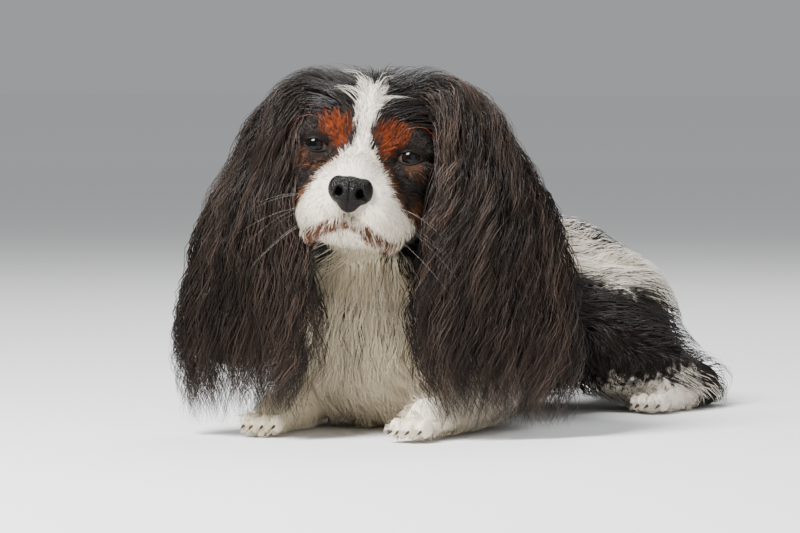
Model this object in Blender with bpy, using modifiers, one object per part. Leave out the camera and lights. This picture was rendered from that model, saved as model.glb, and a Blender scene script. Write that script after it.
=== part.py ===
"""A cavalier king charles spaniel at life size, lying on its chest with its head raised and turned to its left.

Metres, +Z up. The dog faces -Y, its left side is +X, and the origin is on the floor under its breastbone.
The flesh is one soft blend of rounded forms, parted with thin cuts, and the long coat is added as flat locks.
"""

import math

import bmesh
import bpy
import numpy as np
from mathutils import Matrix, Vector

# Driving sizes
GAP = 0.0003
EYE_SPACING = 0.062
EYE_RADIUS = 0.0105
EYE_SUNK = 0.0088
LID_THICKNESS = 0.0022
EYE_OPENING = (0.0086, 0.0048)
HEAD_TURN = math.radians(25)
HEAD_NOD = math.radians(-4)
HEAD_TILT = math.radians(8)
HEAD_PLACE = Vector((0.040, -0.130, 0.188))
BODY_VOXEL = 0.0050
HEAD_VOXEL = 0.0028
NOSE_VOXEL = 0.0012
CUTTER_VOXEL = 0.0065
BODY_BLEND = 0.010
HEAD_BLEND = 0.0045
NOSE_BLEND = 0.0016
NECK_BLEND = 0.009
BODY_TRIANGLES = 2900
HEAD_TRIANGLES = 1500
NOSE_TRIANGLES = 160
CUTTER_TRIANGLES = 120
MOUTH_GROOVE = 0.0013
LEG_CUT_MARGIN = 0.011
PAW_CUT_RADII = (0.030, 0.036, 0.026)
SMALL_STEP = 1e-4

BLACK = (0.012, 0.010, 0.010, 1)
WHITE = (0.80, 0.76, 0.70, 1)
ROAN = (0.16, 0.15, 0.15, 1)
EYE_BROWN = (0.020, 0.010, 0.006, 1)
NOSE_BLACK = (0.010, 0.010, 0.011, 1)
FINISHES = {
    "head": (BLACK, 0.6),
    "ear": (BLACK, 0.45),
    "neck": (WHITE, 0.7),
    "torso": (ROAN, 0.6),
    "tail": (BLACK, 0.6),
    "foreleg": (WHITE, 0.7),
    "hindleg": (BLACK, 0.6),
    "eye": (EYE_BROWN, 0.08),
    "nose": (NOSE_BLACK, 0.35),
}

SIDES = {"left": 1, "right": -1}

HEAD_FRAME = (
    Matrix.Translation(HEAD_PLACE)
    @ Matrix.Rotation(HEAD_TURN, 4, "Z")
    @ Matrix.Rotation(HEAD_NOD, 4, "X")
    @ Matrix.Rotation(HEAD_TILT, 4, "Y")
)
# The ears hang plumb, so their frame has the head's turn but neither its nod nor its tilt.
EAR_FRAME = Matrix.Translation(HEAD_PLACE) @ Matrix.Rotation(HEAD_TURN, 4, "Z")

# Rounded forms of the head, in its own frame, with the origin midway between the eyes: centre, radii
HEAD_MIDDLE = {
    "cranium": ((0, 0.052, 0.017), (0.040, 0.046, 0.035)),
    "forehead": ((0, 0.031, 0.016), (0.031, 0.028, 0.028)),
    "occiput": ((0, 0.084, 0.006), (0.028, 0.024, 0.028)),
    "stop": ((0, 0.010, -0.004), (0.014, 0.016, 0.014)),
    "bridge": ((0, -0.006, -0.014), (0.0125, 0.022, 0.0105)),
    "bridge_front": ((0, -0.022, -0.022), (0.0145, 0.016, 0.011)),
    "chin": ((0, -0.014, -0.057), (0.013, 0.015, 0.009)),
    "jaw": ((0, 0.014, -0.050), (0.022, 0.034, 0.014)),
    "throat": ((0, 0.052, -0.036), (0.032, 0.038, 0.030)),
}
HEAD_PAIRS = {
    "brow": ((0.022, 0.014, 0.010), (0.015, 0.012, 0.009)),
    "temple": ((0.030, 0.038, 0.004), (0.016, 0.028, 0.022)),
    "cheekbone": ((0.034, 0.026, -0.012), (0.012, 0.022, 0.013)),
    "cheek": ((0.027, 0.026, -0.034), (0.018, 0.028, 0.021)),
    "flew": ((0.0155, -0.018, -0.042), (0.0155, 0.019, 0.018)),
    "flew_back": ((0.023, 0.002, -0.044), (0.011, 0.022, 0.016)),
    "muzzle_side": ((0.017, -0.004, -0.028), (0.012, 0.022, 0.014)),
}
NOSE_MIDDLE = ((0, -0.0375, -0.0265), (0.0105, 0.0072, 0.0100))
NOSE_WINGS = ((0.0092, -0.0355, -0.0250), (0.0056, 0.0062, 0.0078))
NOSTRIL = ((0.0066, -0.0440, -0.0262), (0.0024, 0.0040, 0.0034))
NOSTRIL_SLIT = ((0.0112, -0.0400, -0.0290), (0.0046, 0.0050, 0.0011))

# The line of the lips from its middle to a corner, near the skin, in the head's frame
LIP_LINE = (
    (0.000, -0.036, -0.0480),
    (0.007, -0.036, -0.0510),
    (0.014, -0.033, -0.0560),
    (0.021, -0.026, -0.0590),
    (0.027, -0.014, -0.0600),
    (0.031, 0.000, -0.0590),
    (0.033, 0.010, -0.0550),
)
PHILTRUM = ((0, -0.044, -0.0360), (0, -0.042, -0.0420), (0, -0.038, -0.0490))

# Rounded forms of the body: centre, radii
TRUNK = {
    "breast": ((0.010, -0.046, 0.082), (0.046, 0.050, 0.052)),
    "brisket": ((0.002, 0.000, 0.060), (0.060, 0.084, 0.064)),
    "withers": ((-0.002, 0.024, 0.112), (0.044, 0.068, 0.042)),
    "barrel": ((-0.010, 0.086, 0.074), (0.066, 0.100, 0.070)),
    "loin": ((-0.006, 0.155, 0.076), (0.058, 0.078, 0.060)),
    "croup": ((0.006, 0.206, 0.074), (0.052, 0.054, 0.054)),
}
FLANKS = {
    "shoulder": {"left": (0.044, -0.020, 0.074), "right": (-0.036, -0.034, 0.074)},
    "haunch": {"left": (0.058, 0.202, 0.060), "right": (-0.046, 0.210, 0.060)},
}
FLANK_RADII = {"shoulder": (0.022, 0.046, 0.046), "haunch": (0.032, 0.052, 0.044)}
NECK = (
    ((0.012, -0.085, 0.180), 0.034),
    ((0.010, -0.068, 0.160), 0.040),
    ((0.006, -0.038, 0.132), 0.045),
    ((0.000, 0.000, 0.108), 0.046),
)
FORELEG = {
    "left": (
        ((0.054, 0.030, 0.038), 0.020),
        ((0.064, 0.010, 0.028), 0.020),
        ((0.068, -0.034, 0.019), 0.016),
        ((0.073, -0.080, 0.014), 0.013),
        ((0.075, -0.104, 0.014), 0.014),
    ),
    "right": (
        ((-0.056, 0.022, 0.038), 0.020),
        ((-0.060, 0.002, 0.028), 0.020),
        ((-0.052, -0.044, 0.019), 0.016),
        ((-0.040, -0.088, 0.014), 0.013),
        ((-0.036, -0.111, 0.014), 0.014),
    ),
}
SHANK = {
    "left": (
        ((0.076, 0.166, 0.040), 0.022),
        ((0.084, 0.200, 0.031), 0.019),
        ((0.088, 0.234, 0.021), 0.014),
        ((0.091, 0.254, 0.016), 0.011),
    ),
    "right": (
        ((-0.074, 0.176, 0.040), 0.022),
        ((-0.080, 0.210, 0.031), 0.019),
        ((-0.084, 0.242, 0.021), 0.014),
        ((-0.086, 0.264, 0.016), 0.011),
    ),
}
HIND_FOOT = {
    "left": (((0.093, 0.258, 0.012), 0.010), ((0.097, 0.224, 0.010), 0.011), ((0.099, 0.190, 0.010), 0.012)),
    "right": (((-0.088, 0.268, 0.012), 0.010), ((-0.094, 0.234, 0.010), 0.011), ((-0.098, 0.200, 0.010), 0.012)),
}
PAWS = {
    "foreleg_left": ((0.077, -0.122, 0.011), math.radians(6)),
    "foreleg_right": ((-0.032, -0.130, 0.011), math.radians(13)),
    "hindleg_left": ((0.100, 0.176, 0.010), math.radians(2)),
    "hindleg_right": ((-0.101, 0.186, 0.010), math.radians(-6)),
}
PAW_PAD = ((0, 0.010, 0.001), (0.013, 0.018, 0.010))
PAW_TOES = (
    (-0.0105, -0.010, -0.002),
    (-0.0036, -0.014, -0.002),
    (0.0036, -0.014, -0.002),
    (0.0105, -0.010, -0.002),
)
PAW_TOE_RADII = (0.0042, 0.010, 0.0075)
TAIL = (
    ((0.014, 0.236, 0.086), 0.014),
    ((0.018, 0.264, 0.062), 0.013),
    ((0.017, 0.290, 0.037), 0.011),
    ((0.012, 0.316, 0.019), 0.010),
    ((0.002, 0.344, 0.011), 0.009),
    ((-0.014, 0.372, 0.009), 0.007),
    ((-0.036, 0.398, 0.007), 0.005),
)

# Cuts between head, neck and torso: a point on the plane and its normal, which points towards the tail
HEAD_CUT = (HEAD_FRAME @ Vector((0, 0.078, -0.020)), HEAD_FRAME.to_3x3() @ Vector((0, 0.62, -0.78)))
NECK_CUT = (Vector((0.006, -0.044, 0.136)), Vector((-0.10, 0.66, -0.75)))

# The part of the torso that each leg takes with it: centre, radii
LEG_TOPS = {
    "foreleg_left": ((0.062, 0.010, 0.044), (0.028, 0.044, 0.036)),
    "foreleg_right": ((-0.062, 0.000, 0.044), (0.028, 0.044, 0.036)),
    "hindleg_left": ((0.076, 0.196, 0.046), (0.032, 0.058, 0.048)),
    "hindleg_right": ((-0.068, 0.206, 0.046), (0.032, 0.058, 0.048)),
}

# Each ear's sheet from its root to its tips: place, half width, half thickness, turn and tilt in degrees
EAR_SHEET = (
    ((0.022, 0.043, 0.030), 0.012, 0.0050, 84, 75),
    ((0.036, 0.043, 0.035), 0.018, 0.0062, 74, 58),
    ((0.049, 0.041, 0.029), 0.023, 0.0068, 64, 38),
    ((0.059, 0.038, 0.014), 0.027, 0.0072, 55, 15),
    ((0.066, 0.035, -0.006), 0.031, 0.0075, 48, 0),
    ((0.075, 0.030, -0.032), 0.038, 0.0080, 38, 0),
    ((0.077, 0.026, -0.065), 0.046, 0.0085, 31, 0),
    ((0.078, 0.022, -0.100), 0.052, 0.0080, 28, 0),
    ((0.079, 0.018, -0.135), 0.055, 0.0065, 27, 0),
    ((0.080, 0.016, -0.163), 0.046, 0.0040, 27, 0),
)
EAR_SPREAD = {"left": 1.10, "right": 0.96}
EAR_CORE_LEVELS = 7

# Tiers of an ear's locks: level of the roots, level of the tips, count, lift above the sheet, half width
EAR_TIERS = (
    (1.4, 4.8, 4, 0.0085, 0.0090),
    (2.8, 6.6, 5, 0.0060, 0.0095),
    (4.4, 8.2, 6, 0.0030, 0.0100),
    (5.4, 9.0, 7, -0.0005, 0.0105),
)
EAR_CORE_SIDES = 12
EAR_EDGE_THINNING = 0.35
EAR_LOCK_REACH = 0.86
EAR_CUP = 0.004
EAR_WAVE = 0.0035
EAR_WAVE_TURNS = 1.45
EAR_LOCK_RINGS = 5
SHINGLE = 0.0022

# Rows of locks by node: first root, last root, lie of the hair, count, length, lift, half width
BODY_LOCKS = {
    "neck": (
        ((-0.022, -0.100, 0.128), (0.042, -0.102, 0.128), (0.00, -0.10, -1.0), 5, 0.058, 0.0105, 0.0105),
        ((0.062, -0.060, 0.140), (0.044, -0.010, 0.155), (0.45, 0.15, -1.0), 2, 0.052, 0.006, 0.0110),
        ((-0.044, -0.070, 0.140), (-0.038, -0.010, 0.155), (-0.45, 0.10, -1.0), 2, 0.052, 0.006, 0.0110),
    ),
    "torso": (
        ((-0.028, -0.100, 0.102), (0.048, -0.100, 0.102), (0.00, -0.15, -1.0), 6, 0.058, 0.006, 0.0092),
        ((-0.022, -0.100, 0.074), (0.042, -0.100, 0.074), (0.00, -0.20, -1.0), 5, 0.055, 0.006, 0.0092),
        ((-0.016, -0.096, 0.048), (0.034, -0.096, 0.048), (0.00, -0.30, -1.0), 4, 0.045, 0.006, 0.0088),
        ((0.070, 0.056, 0.034), (0.066, 0.132, 0.034), (0.30, 0.60, -0.6), 4, 0.046, 0.006, 0.0115),
        ((-0.082, 0.056, 0.034), (-0.076, 0.140, 0.034), (-0.30, 0.60, -0.6), 4, 0.046, 0.006, 0.0115),
    ),
    "foreleg_left": (
        ((0.092, 0.024, 0.024), (0.090, -0.062, 0.016), (0.60, 0.75, -0.20), 4, 0.038, 0.005, 0.0095),
        ((0.090, 0.024, 0.046), (0.094, 0.000, 0.040), (0.25, 0.80, -0.70), 2, 0.042, 0.005, 0.0105),
    ),
    "foreleg_right": (
        ((-0.086, 0.014, 0.024), (-0.060, -0.070, 0.016), (-0.65, 0.70, -0.20), 4, 0.038, 0.005, 0.0095),
        ((-0.088, 0.014, 0.046), (-0.086, -0.008, 0.040), (-0.30, 0.80, -0.70), 2, 0.042, 0.005, 0.0105),
    ),
    "hindleg_left": (
        ((0.098, 0.250, 0.056), (0.106, 0.258, 0.026), (0.25, 0.80, -0.50), 3, 0.044, 0.006, 0.0105),
        ((0.110, 0.186, 0.052), (0.110, 0.232, 0.046), (0.35, 0.65, -0.70), 2, 0.044, 0.006, 0.0115),
    ),
    "hindleg_right": (
        ((-0.088, 0.258, 0.056), (-0.100, 0.268, 0.026), (-0.25, 0.80, -0.50), 3, 0.044, 0.006, 0.0105),
        ((-0.104, 0.196, 0.052), (-0.104, 0.242, 0.046), (-0.35, 0.65, -0.70), 2, 0.044, 0.006, 0.0115),
    ),
}
BODY_LOCK_RINGS = 4
LOCK_ROOT_DEPTH = 0.0035
LOCK_RISE = 2.6
LOCK_THICKNESS = 0.0011
LOCK_THINNING = 0.55
LOCK_ROOT_WIDTH = 0.75
LOCK_BELLY = 0.9
LOCK_TAPER = 0.55
LOCK_VARIATION = 0.15
LIE_VARIATION = 0.12
LOCK_SEED = 6
LOCK_ORDER = ("torso", "foreleg_left", "foreleg_right", "hindleg_left", "hindleg_right", "tail", "neck")
FLOOR_CLEARANCE = 0.0022
OVER_BODY = 0.011

# The tail's plume: rows of locks along it, by their heading off the tail's own line in degrees
PLUME_ROWS = (-48, 0, 48)
PLUME_COUNT = 4
PLUME_LENGTH = 0.066
PLUME_HALF_WIDTH = 0.0120
PLUME_START = 0.9
PLUME_END = 5.8
PLUME_DROOP = 0.5
PLUME_SWEEP = 0.25


def clear_scene():
    for old in list(bpy.data.objects):
        bpy.data.objects.remove(old)


def place_object(name, mesh):
    made = bpy.data.objects.new(name, mesh)
    bpy.context.scene.collection.objects.link(made)
    return made


def object_from(name, shape):
    """Turns a bmesh into an object, its faces pointing out."""
    bmesh.ops.recalc_face_normals(shape, faces=shape.faces)
    mesh = bpy.data.meshes.new(name)
    shape.to_mesh(mesh)
    shape.free()
    return place_object(name, mesh)


def apply_modifiers(target):
    """Bakes every modifier of an object into its mesh."""
    bpy.context.view_layer.update()
    graph = bpy.context.evaluated_depsgraph_get()
    mesh = bpy.data.meshes.new_from_object(target.evaluated_get(graph))
    target.modifiers.clear()
    target.data = mesh


# A rounded form is a dict: a stretched ball in a frame of its own, or a limb through round stations
def ball(centre, radii, frame=Matrix.Identity(4)):
    return {"frame": frame @ Matrix.Translation(centre), "radii": radii}


def limb(stations):
    return {"stations": [(Vector(c), r) for c, r in stations]}


def distance_outside(form, points):
    """About how far each point lies outside a form, less than zero inside it."""
    if "radii" in form:
        inverse = np.array(form["frame"].inverted())
        local = points @ inverse[:3, :3].T + inverse[:3, 3]
        scaled = local / form["radii"]
        reach = np.linalg.norm(scaled, axis=1) + 1e-9
        steep = np.linalg.norm(scaled / form["radii"], axis=1) + 1e-9
        return reach * (reach - 1) / steep
    nearest = np.full(len(points), np.inf)
    for (start, r0), (end, r1) in zip(form["stations"], form["stations"][1:]):
        along = np.array(end - start)
        share = np.clip((points - np.array(start)) @ along / (along @ along), 0, 1)
        middle = np.array(start) + share[:, None] * along
        gap = np.linalg.norm(points - middle, axis=1) - (r0 + share * (r1 - r0))
        nearest = np.minimum(nearest, gap)
    return nearest


def soft_least(gaps, blend):
    """The least of several distances, rounded off where they meet."""
    gaps = np.array(gaps)
    least = gaps.min(axis=0)
    return least - blend * np.log(np.exp(-(gaps - least) / blend).sum(axis=0))


def forms_distance(points, forms, blend):
    return soft_least([distance_outside(form, points) for form in forms], blend)


def flesh_distance(points, head, body):
    """How far each point lies outside the soft blend of the head's forms and the body's."""
    head_gap = forms_distance(points, head, HEAD_BLEND)
    body_gap = forms_distance(points, body, BODY_BLEND)
    return soft_least([head_gap, body_gap], NECK_BLEND)


def slope_of(distance, points):
    """The direction that leads away from the flesh at each point."""
    here = distance(points)
    slope = np.stack([distance(points + SMALL_STEP * axis) - here for axis in np.eye(3)], axis=1)
    return slope / (np.linalg.norm(slope, axis=1)[:, None] + 1e-12)


def to_level(points, distance, level=0.0, steps=5):
    """Moves points to where a distance has a given value."""
    for _ in range(steps):
        points = points - slope_of(distance, points) * (distance(points) - level)[:, None]
    return points


def move_points(target, mover):
    """Replaces every point of a mesh by what a function makes of it."""
    points = np.empty(len(target.data.vertices) * 3)
    target.data.vertices.foreach_get("co", points)
    target.data.vertices.foreach_set("co", mover(points.reshape(-1, 3)).ravel())
    target.data.update()


def add_form_mesh(shape, form):
    """Adds a form's own closed mesh to a bmesh, as the start of the skin."""
    if "radii" in form:
        stretch = form["frame"] @ Matrix.Diagonal((*form["radii"], 1))
        bmesh.ops.create_uvsphere(shape, u_segments=24, v_segments=14, radius=1, matrix=stretch)
        return
    for (start, r0), (end, r1) in zip(form["stations"], form["stations"][1:]):
        along = end - start
        turn = along.to_track_quat("Z", "Y").to_matrix().to_4x4()
        place = Matrix.Translation((start + end) / 2) @ turn
        bmesh.ops.create_cone(
            shape, cap_ends=True, segments=16, radius1=r0, radius2=r1, depth=along.length, matrix=place
        )
        for centre, radius in ((start, r0), (end, r1)):
            at = Matrix.Translation(centre)
            bmesh.ops.create_uvsphere(shape, u_segments=16, v_segments=10, radius=radius, matrix=at)


def skin_over(name, start_forms, flesh, voxel, triangles):
    """One closed skin, begun as a remesh of some of the forms and then moved to the soft blend."""
    made = wrapped(name, start_forms, voxel)
    soften(made, 4)
    move_points(made, lambda points: to_level(points, flesh))
    soften(made, 1)
    thin_to(made, triangles)
    return made


def wrapped(name, forms, voxel):
    """One closed mesh of even squares round a few forms."""
    shape = bmesh.new()
    for form in forms:
        add_form_mesh(shape, form)
    made = object_from(name, shape)
    remesh = made.modifiers.new("Skin", "REMESH")
    remesh.mode = "VOXEL"
    remesh.voxel_size = voxel
    apply_modifiers(made)
    return made


def soften(target, times):
    step = target.modifiers.new("Soften", "SMOOTH")
    step.iterations = times
    apply_modifiers(target)


def thin_to(target, triangles):
    """Thins a mesh to about this many triangles."""
    target.data.calc_loop_triangles()
    share = triangles / len(target.data.loop_triangles)
    if share < 1:
        thinner = target.modifiers.new("Thin", "DECIMATE")
        thinner.ratio = share
        thinner.use_collapse_triangulate = True
        apply_modifiers(target)


def copy_of(original, name):
    return place_object(name, original.data.copy())


def swollen(original, amount=GAP):
    """A copy of a form with its surface moved out, for cutting its neighbour clear of it."""
    made = copy_of(original, original.name + "_swollen")
    normals = [point.normal.copy() for point in made.data.vertices]
    for point, normal in zip(made.data.vertices, normals):
        point.co += normal * amount
    return made


def boolean(target, operation, pieces):
    """Cuts, joins or meets a form with others, and removes them."""
    group = bpy.data.collections.new("cutters")
    for piece in pieces:
        group.objects.link(piece)
    step = target.modifiers.new("Boolean", "BOOLEAN")
    step.operation = operation
    step.operand_type = "COLLECTION"
    step.collection = group
    step.solver = "MANIFOLD"
    apply_modifiers(target)
    for piece in pieces:
        bpy.data.objects.remove(piece)
    bpy.data.collections.remove(group)


def bounds(target):
    points = np.array([tuple(point.co) for point in target.data.vertices])
    return points.min(axis=0), points.max(axis=0)


def near(piece, target):
    """Whether a piece's box meets a target's. A piece that is clear of it is removed."""
    (low, high), (piece_low, piece_high) = bounds(target), bounds(piece)
    if (low <= piece_high).all() and (piece_low <= high).all():
        return True
    bpy.data.objects.remove(piece)
    return False


def keep_largest(target):
    """Keeps only the largest closed surface, which drops scraps and sealed hollows."""
    shape = bmesh.new()
    shape.from_mesh(target.data)
    unseen = set(shape.faces)
    bodies = []
    while unseen:
        front = [unseen.pop()]
        found = list(front)
        while front:
            for edge in front.pop().edges:
                for face in edge.link_faces:
                    if face in unseen:
                        unseen.remove(face)
                        front.append(face)
                        found.append(face)
        bodies.append(found)
    bodies.sort(key=lambda faces: sum(face.calc_area() for face in faces))
    for faces in bodies[:-1]:
        bmesh.ops.delete(shape, geom=faces, context="FACES")
    loose = [point for point in shape.verts if not point.link_faces]
    bmesh.ops.delete(shape, geom=loose, context="VERTS")
    shape.to_mesh(target.data)
    shape.free()


def half_space(point, normal, shift=0.0):
    """A big block that fills the side of a plane that its normal points to."""
    shape = bmesh.new()
    normal = normal.normalized()
    turn = normal.to_track_quat("Z", "Y").to_matrix().to_4x4()
    middle = Matrix.Translation(point + normal * (0.5 + shift)) @ turn
    bmesh.ops.create_cube(shape, size=1, matrix=middle)
    return object_from("half_space", shape)


def split_at(source, cut, front_name):
    """Takes the part in front of a plane off a form, with a thin gap between the two."""
    point, normal = cut
    front = copy_of(source, front_name)
    boolean(front, "DIFFERENCE", [half_space(point, normal)])
    boolean(source, "DIFFERENCE", [half_space(point, -normal, -GAP)])
    keep_largest(front)
    keep_largest(source)
    return front


def split_off(source, cutter, name):
    """Takes what lies inside a cutter off a form, with a thin gap between the two."""
    taken = copy_of(source, name)
    wider = swollen(cutter)
    boolean(taken, "INTERSECT", [cutter])
    boolean(source, "DIFFERENCE", [wider])
    keep_largest(taken)
    keep_largest(source)
    return taken


def round_block(name, forms, voxel, blend, triangles):
    """One closed skin on a few forms of their own."""
    made = wrapped(name, forms, voxel)
    move_points(made, lambda points: to_level(points, lambda p: forms_distance(p, forms, blend)))
    thin_to(made, triangles)
    return made


def loft(name, rings):
    """A closed form through rings of points, all with the same count, closed at both ends."""
    shape = bmesh.new()
    rows = [[shape.verts.new(point) for point in ring] for ring in rings]
    count = len(rows[0])
    for low, high in zip(rows, rows[1:]):
        for i in range(count):
            j = (i + 1) % count
            shape.faces.new((low[i], low[j], high[j]))
            shape.faces.new((low[i], high[j], high[i]))
    for row, flip in ((rows[0], True), (rows[-1], False)):
        middle = shape.verts.new(sum((point.co for point in row), Vector()) / count)
        for i in range(count):
            pair = (row[(i + 1) % count], row[i]) if flip else (row[i], row[(i + 1) % count])
            shape.faces.new((*pair, middle))
    return object_from(name, shape)


def ear_point(side, level, across, lift=0.0):
    """A point of an ear's sheet: level counts down its stations, across goes from -1 to 1."""
    low = min(int(level), len(EAR_SHEET) - 2)
    share = level - low
    upper, lower = EAR_SHEET[low], EAR_SHEET[low + 1]
    middle = Vector(upper[0]).lerp(Vector(lower[0]), share)
    width, thickness, turn, tilt = (u + (v - u) * share for u, v in zip(upper[1:], lower[1:]))
    turn, tilt = math.radians(turn), math.radians(tilt)
    chord = Vector((math.cos(turn), math.sin(turn), 0))
    out = Vector((chord.y, -chord.x, 0)) * math.cos(tilt) + Vector((0, 0, 1)) * math.sin(tilt)
    edge = math.sqrt(max(0.0, 1 - across * across))
    bowed = EAR_CUP * edge * edge
    local = middle + chord * (width * across) + out * (thickness * edge + bowed + lift)
    return EAR_FRAME @ Vector((SIDES[side] * EAR_SPREAD[side] * local.x, local.y, local.z))


def ear_core(side):
    """An ear's leather, as a flat sheet that ends well short of the tips of its hair."""
    rings = []
    for level in range(EAR_CORE_LEVELS):
        ring = []
        thickness = EAR_SHEET[level][2]
        share = EAR_EDGE_THINNING if level == EAR_CORE_LEVELS - 1 else 1
        for i in range(EAR_CORE_SIDES):
            t = 2 * math.pi * i / EAR_CORE_SIDES
            lift = thickness * (share * math.sin(t) - abs(math.sin(t)))
            ring.append(ear_point(side, level, math.cos(t), lift))
        rings.append(ring)
    return loft("ear_" + side, rings)


def ear_locks(side, clear, swell=0.0):
    """The long wavy locks of an ear, in tiers that fall past its tip."""
    draw = np.random.default_rng(LOCK_SEED + SIDES[side])
    locks = []
    for first, last, count, lift, half_width in EAR_TIERS:
        for i in range(count):
            across = EAR_LOCK_REACH * (2 * (i + 0.5 + draw.uniform(-0.2, 0.2)) / count - 1)
            end = last - draw.uniform(0.0, 0.9)
            raised = lift + SHINGLE * (i % 2)
            phase = draw.uniform(0, 2 * math.pi)
            path, faces = [], []
            for k in range(EAR_LOCK_RINGS + 1):
                u = k / EAR_LOCK_RINGS
                level = first + (end - first) * u
                rise = -LOCK_ROOT_DEPTH + (raised + LOCK_ROOT_DEPTH) * min(1.0, LOCK_RISE * u)
                wave = EAR_WAVE * min(1.0, 2 * u) * math.sin(phase + 2 * math.pi * EAR_WAVE_TURNS * u)
                here = ear_point(side, level, across, rise)
                aside = ear_point(side, level, across + 0.05, rise) - here
                path.append(here + aside.normalized() * wave)
                faces.append(ear_point(side, level, across, rise + 0.01) - here)
            path = hold_clear(np.array(path), clear)
            locks.append(lock(path, np.array(faces), half_width * varied(draw), swell))
    return locks


def hold_clear(path, clear):
    """Moves a path out to where it clears the body, and up off the floor."""
    gaps = clear(path)
    out = slope_of(clear, path)
    path = path + out * np.maximum(OVER_BODY - gaps, 0)[:, None]
    path[:, 2] = np.maximum(path[:, 2], FLOOR_CLEARANCE)
    return path


def lock(path, faces, half_width, swell=0.0):
    """One flat lock of hair, wide at first and tapered to a point, with its flat side facing out."""
    count = len(path)
    runs = np.gradient(path, axis=0)
    rings = []
    for k in range(count - 1):
        u = k / (count - 1)
        along = Vector(runs[k]).normalized()
        side = along.cross(Vector(faces[k])).normalized()
        face = side.cross(along)
        wide = half_width * (LOCK_ROOT_WIDTH + LOCK_BELLY * u) * (1 - u) ** LOCK_TAPER + swell
        thick = LOCK_THICKNESS * (1 - LOCK_THINNING * u) + swell
        middle = Vector(path[k]) - along * swell
        arms = (side * wide, face * thick, side * -wide, face * -thick)
        rings.append([middle + arm for arm in arms])
    tip = Vector(path[-1]) + Vector(runs[-1]).normalized() * swell
    shape = bmesh.new()
    rows = [[shape.verts.new(point) for point in ring] for ring in rings]
    end = shape.verts.new(tip)
    for low, high in zip(rows, rows[1:]):
        for i in range(4):
            j = (i + 1) % 4
            shape.faces.new((low[i], low[j], high[j]))
            shape.faces.new((low[i], high[j], high[i]))
    for i in range(4):
        shape.faces.new((rows[-1][i], rows[-1][(i + 1) % 4], end))
    shape.faces.new((rows[0][0], rows[0][2], rows[0][1]))
    shape.faces.new((rows[0][0], rows[0][3], rows[0][2]))
    return object_from("lock", shape)


def combed(flesh, roots, lies, lengths, lifts):
    """Paths of locks that start under the skin, follow their lie over it, and rise to a lift at their tips."""
    lies = lies / np.linalg.norm(lies, axis=1)[:, None]
    points, paths, faces = to_level(roots, flesh), [], []
    for k in range(BODY_LOCK_RINGS + 1):
        u = k / BODY_LOCK_RINGS
        level = -LOCK_ROOT_DEPTH + (lifts + LOCK_ROOT_DEPTH) * min(1.0, LOCK_RISE * u)
        points = to_level(points, flesh, level, steps=3)
        out = slope_of(flesh, points)
        on_floor = points.copy()
        on_floor[:, 2] = np.maximum(points[:, 2], FLOOR_CLEARANCE)
        paths.append(on_floor)
        faces.append(out)
        ahead = lies - out * (lies * out).sum(axis=1)[:, None]
        ahead /= np.linalg.norm(ahead, axis=1)[:, None]
        points = on_floor + ahead * (lengths / BODY_LOCK_RINGS)[:, None]
    return np.stack(paths, axis=1), np.stack(faces, axis=1)


def varied(draw, count=None):
    return draw.uniform(1 - LOCK_VARIATION, 1 + LOCK_VARIATION, count)


def body_locks(node, flesh, swell=0.0):
    """The locks of one node of the body."""
    draw = np.random.default_rng(LOCK_SEED + sorted(BODY_LOCKS).index(node))
    locks = []
    for first, last, lie, count, length, lift, half_width in BODY_LOCKS[node]:
        shares = (np.arange(count) + 0.5 + draw.uniform(-0.2, 0.2, count)) / count
        roots = np.array(first) + shares[:, None] * (np.array(last) - np.array(first))
        lies = np.array(lie) + draw.uniform(-LIE_VARIATION, LIE_VARIATION, (count, 3))
        lengths = length * varied(draw, count)
        lifts = lift + SHINGLE * (np.arange(count) % 2)
        paths, faces = combed(flesh, roots, lies, lengths, lifts)
        widths = half_width * varied(draw, count)
        locks += [lock(path, face, wide, swell) for path, face, wide in zip(paths, faces, widths)]
    return locks


def tail_locks(swell=0.0):
    """The plume of the tail, its locks lying back and to both sides."""
    draw = np.random.default_rng(LOCK_SEED)
    places = [Vector(place) for place, _ in TAIL]
    locks = []
    for row, heading in enumerate(PLUME_ROWS):
        for i in range(PLUME_COUNT):
            share = (i + 0.25 * row + draw.uniform(0, 0.3)) / PLUME_COUNT
            spot = PLUME_START + (PLUME_END - PLUME_START) * share
            low = min(int(spot), len(TAIL) - 2)
            root = places[low].lerp(places[low + 1], spot - low)
            along = (places[low + 1] - places[low]).normalized()
            side = along.cross(Vector((0, 0, 1))).normalized()
            up = side.cross(along)
            angle = math.radians(heading + draw.uniform(-8, 8))
            aim = along * math.cos(angle) + side * math.sin(angle)
            length = PLUME_LENGTH * varied(draw)
            path = []
            for k in range(BODY_LOCK_RINGS + 1):
                u = k / BODY_LOCK_RINGS
                bend = along * PLUME_SWEEP - Vector((0, 0, PLUME_DROOP))
                point = root + up * FLOOR_CLEARANCE + aim * (length * u) + bend * (length * u * u)
                layer = (row + PLUME_COUNT - i) / 2
                point.z = max(point.z, FLOOR_CLEARANCE + SHINGLE * layer * u)
                path.append(np.array(point))
            face = np.array([up] * len(path))
            locks.append(lock(np.array(path), face, PLUME_HALF_WIDTH, swell))
    return locks


def grow_locks(node, locks, cores, growing, done):
    """Fuses locks into their node, cut clear of the flesh and the locks of the other nodes."""
    hair = locks[0]
    boolean(hair, "UNION", locks[1:])
    others = [copy_of(core, "cutter") for name, core in cores.items() if name != node.name]
    others += [piece for name in done for piece in growing[name](GAP)]
    touching = [piece for piece in others if near(piece, hair)]
    if touching:
        boolean(hair, "DIFFERENCE", touching)
    boolean(node, "UNION", [hair])
    keep_largest(node)


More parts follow.
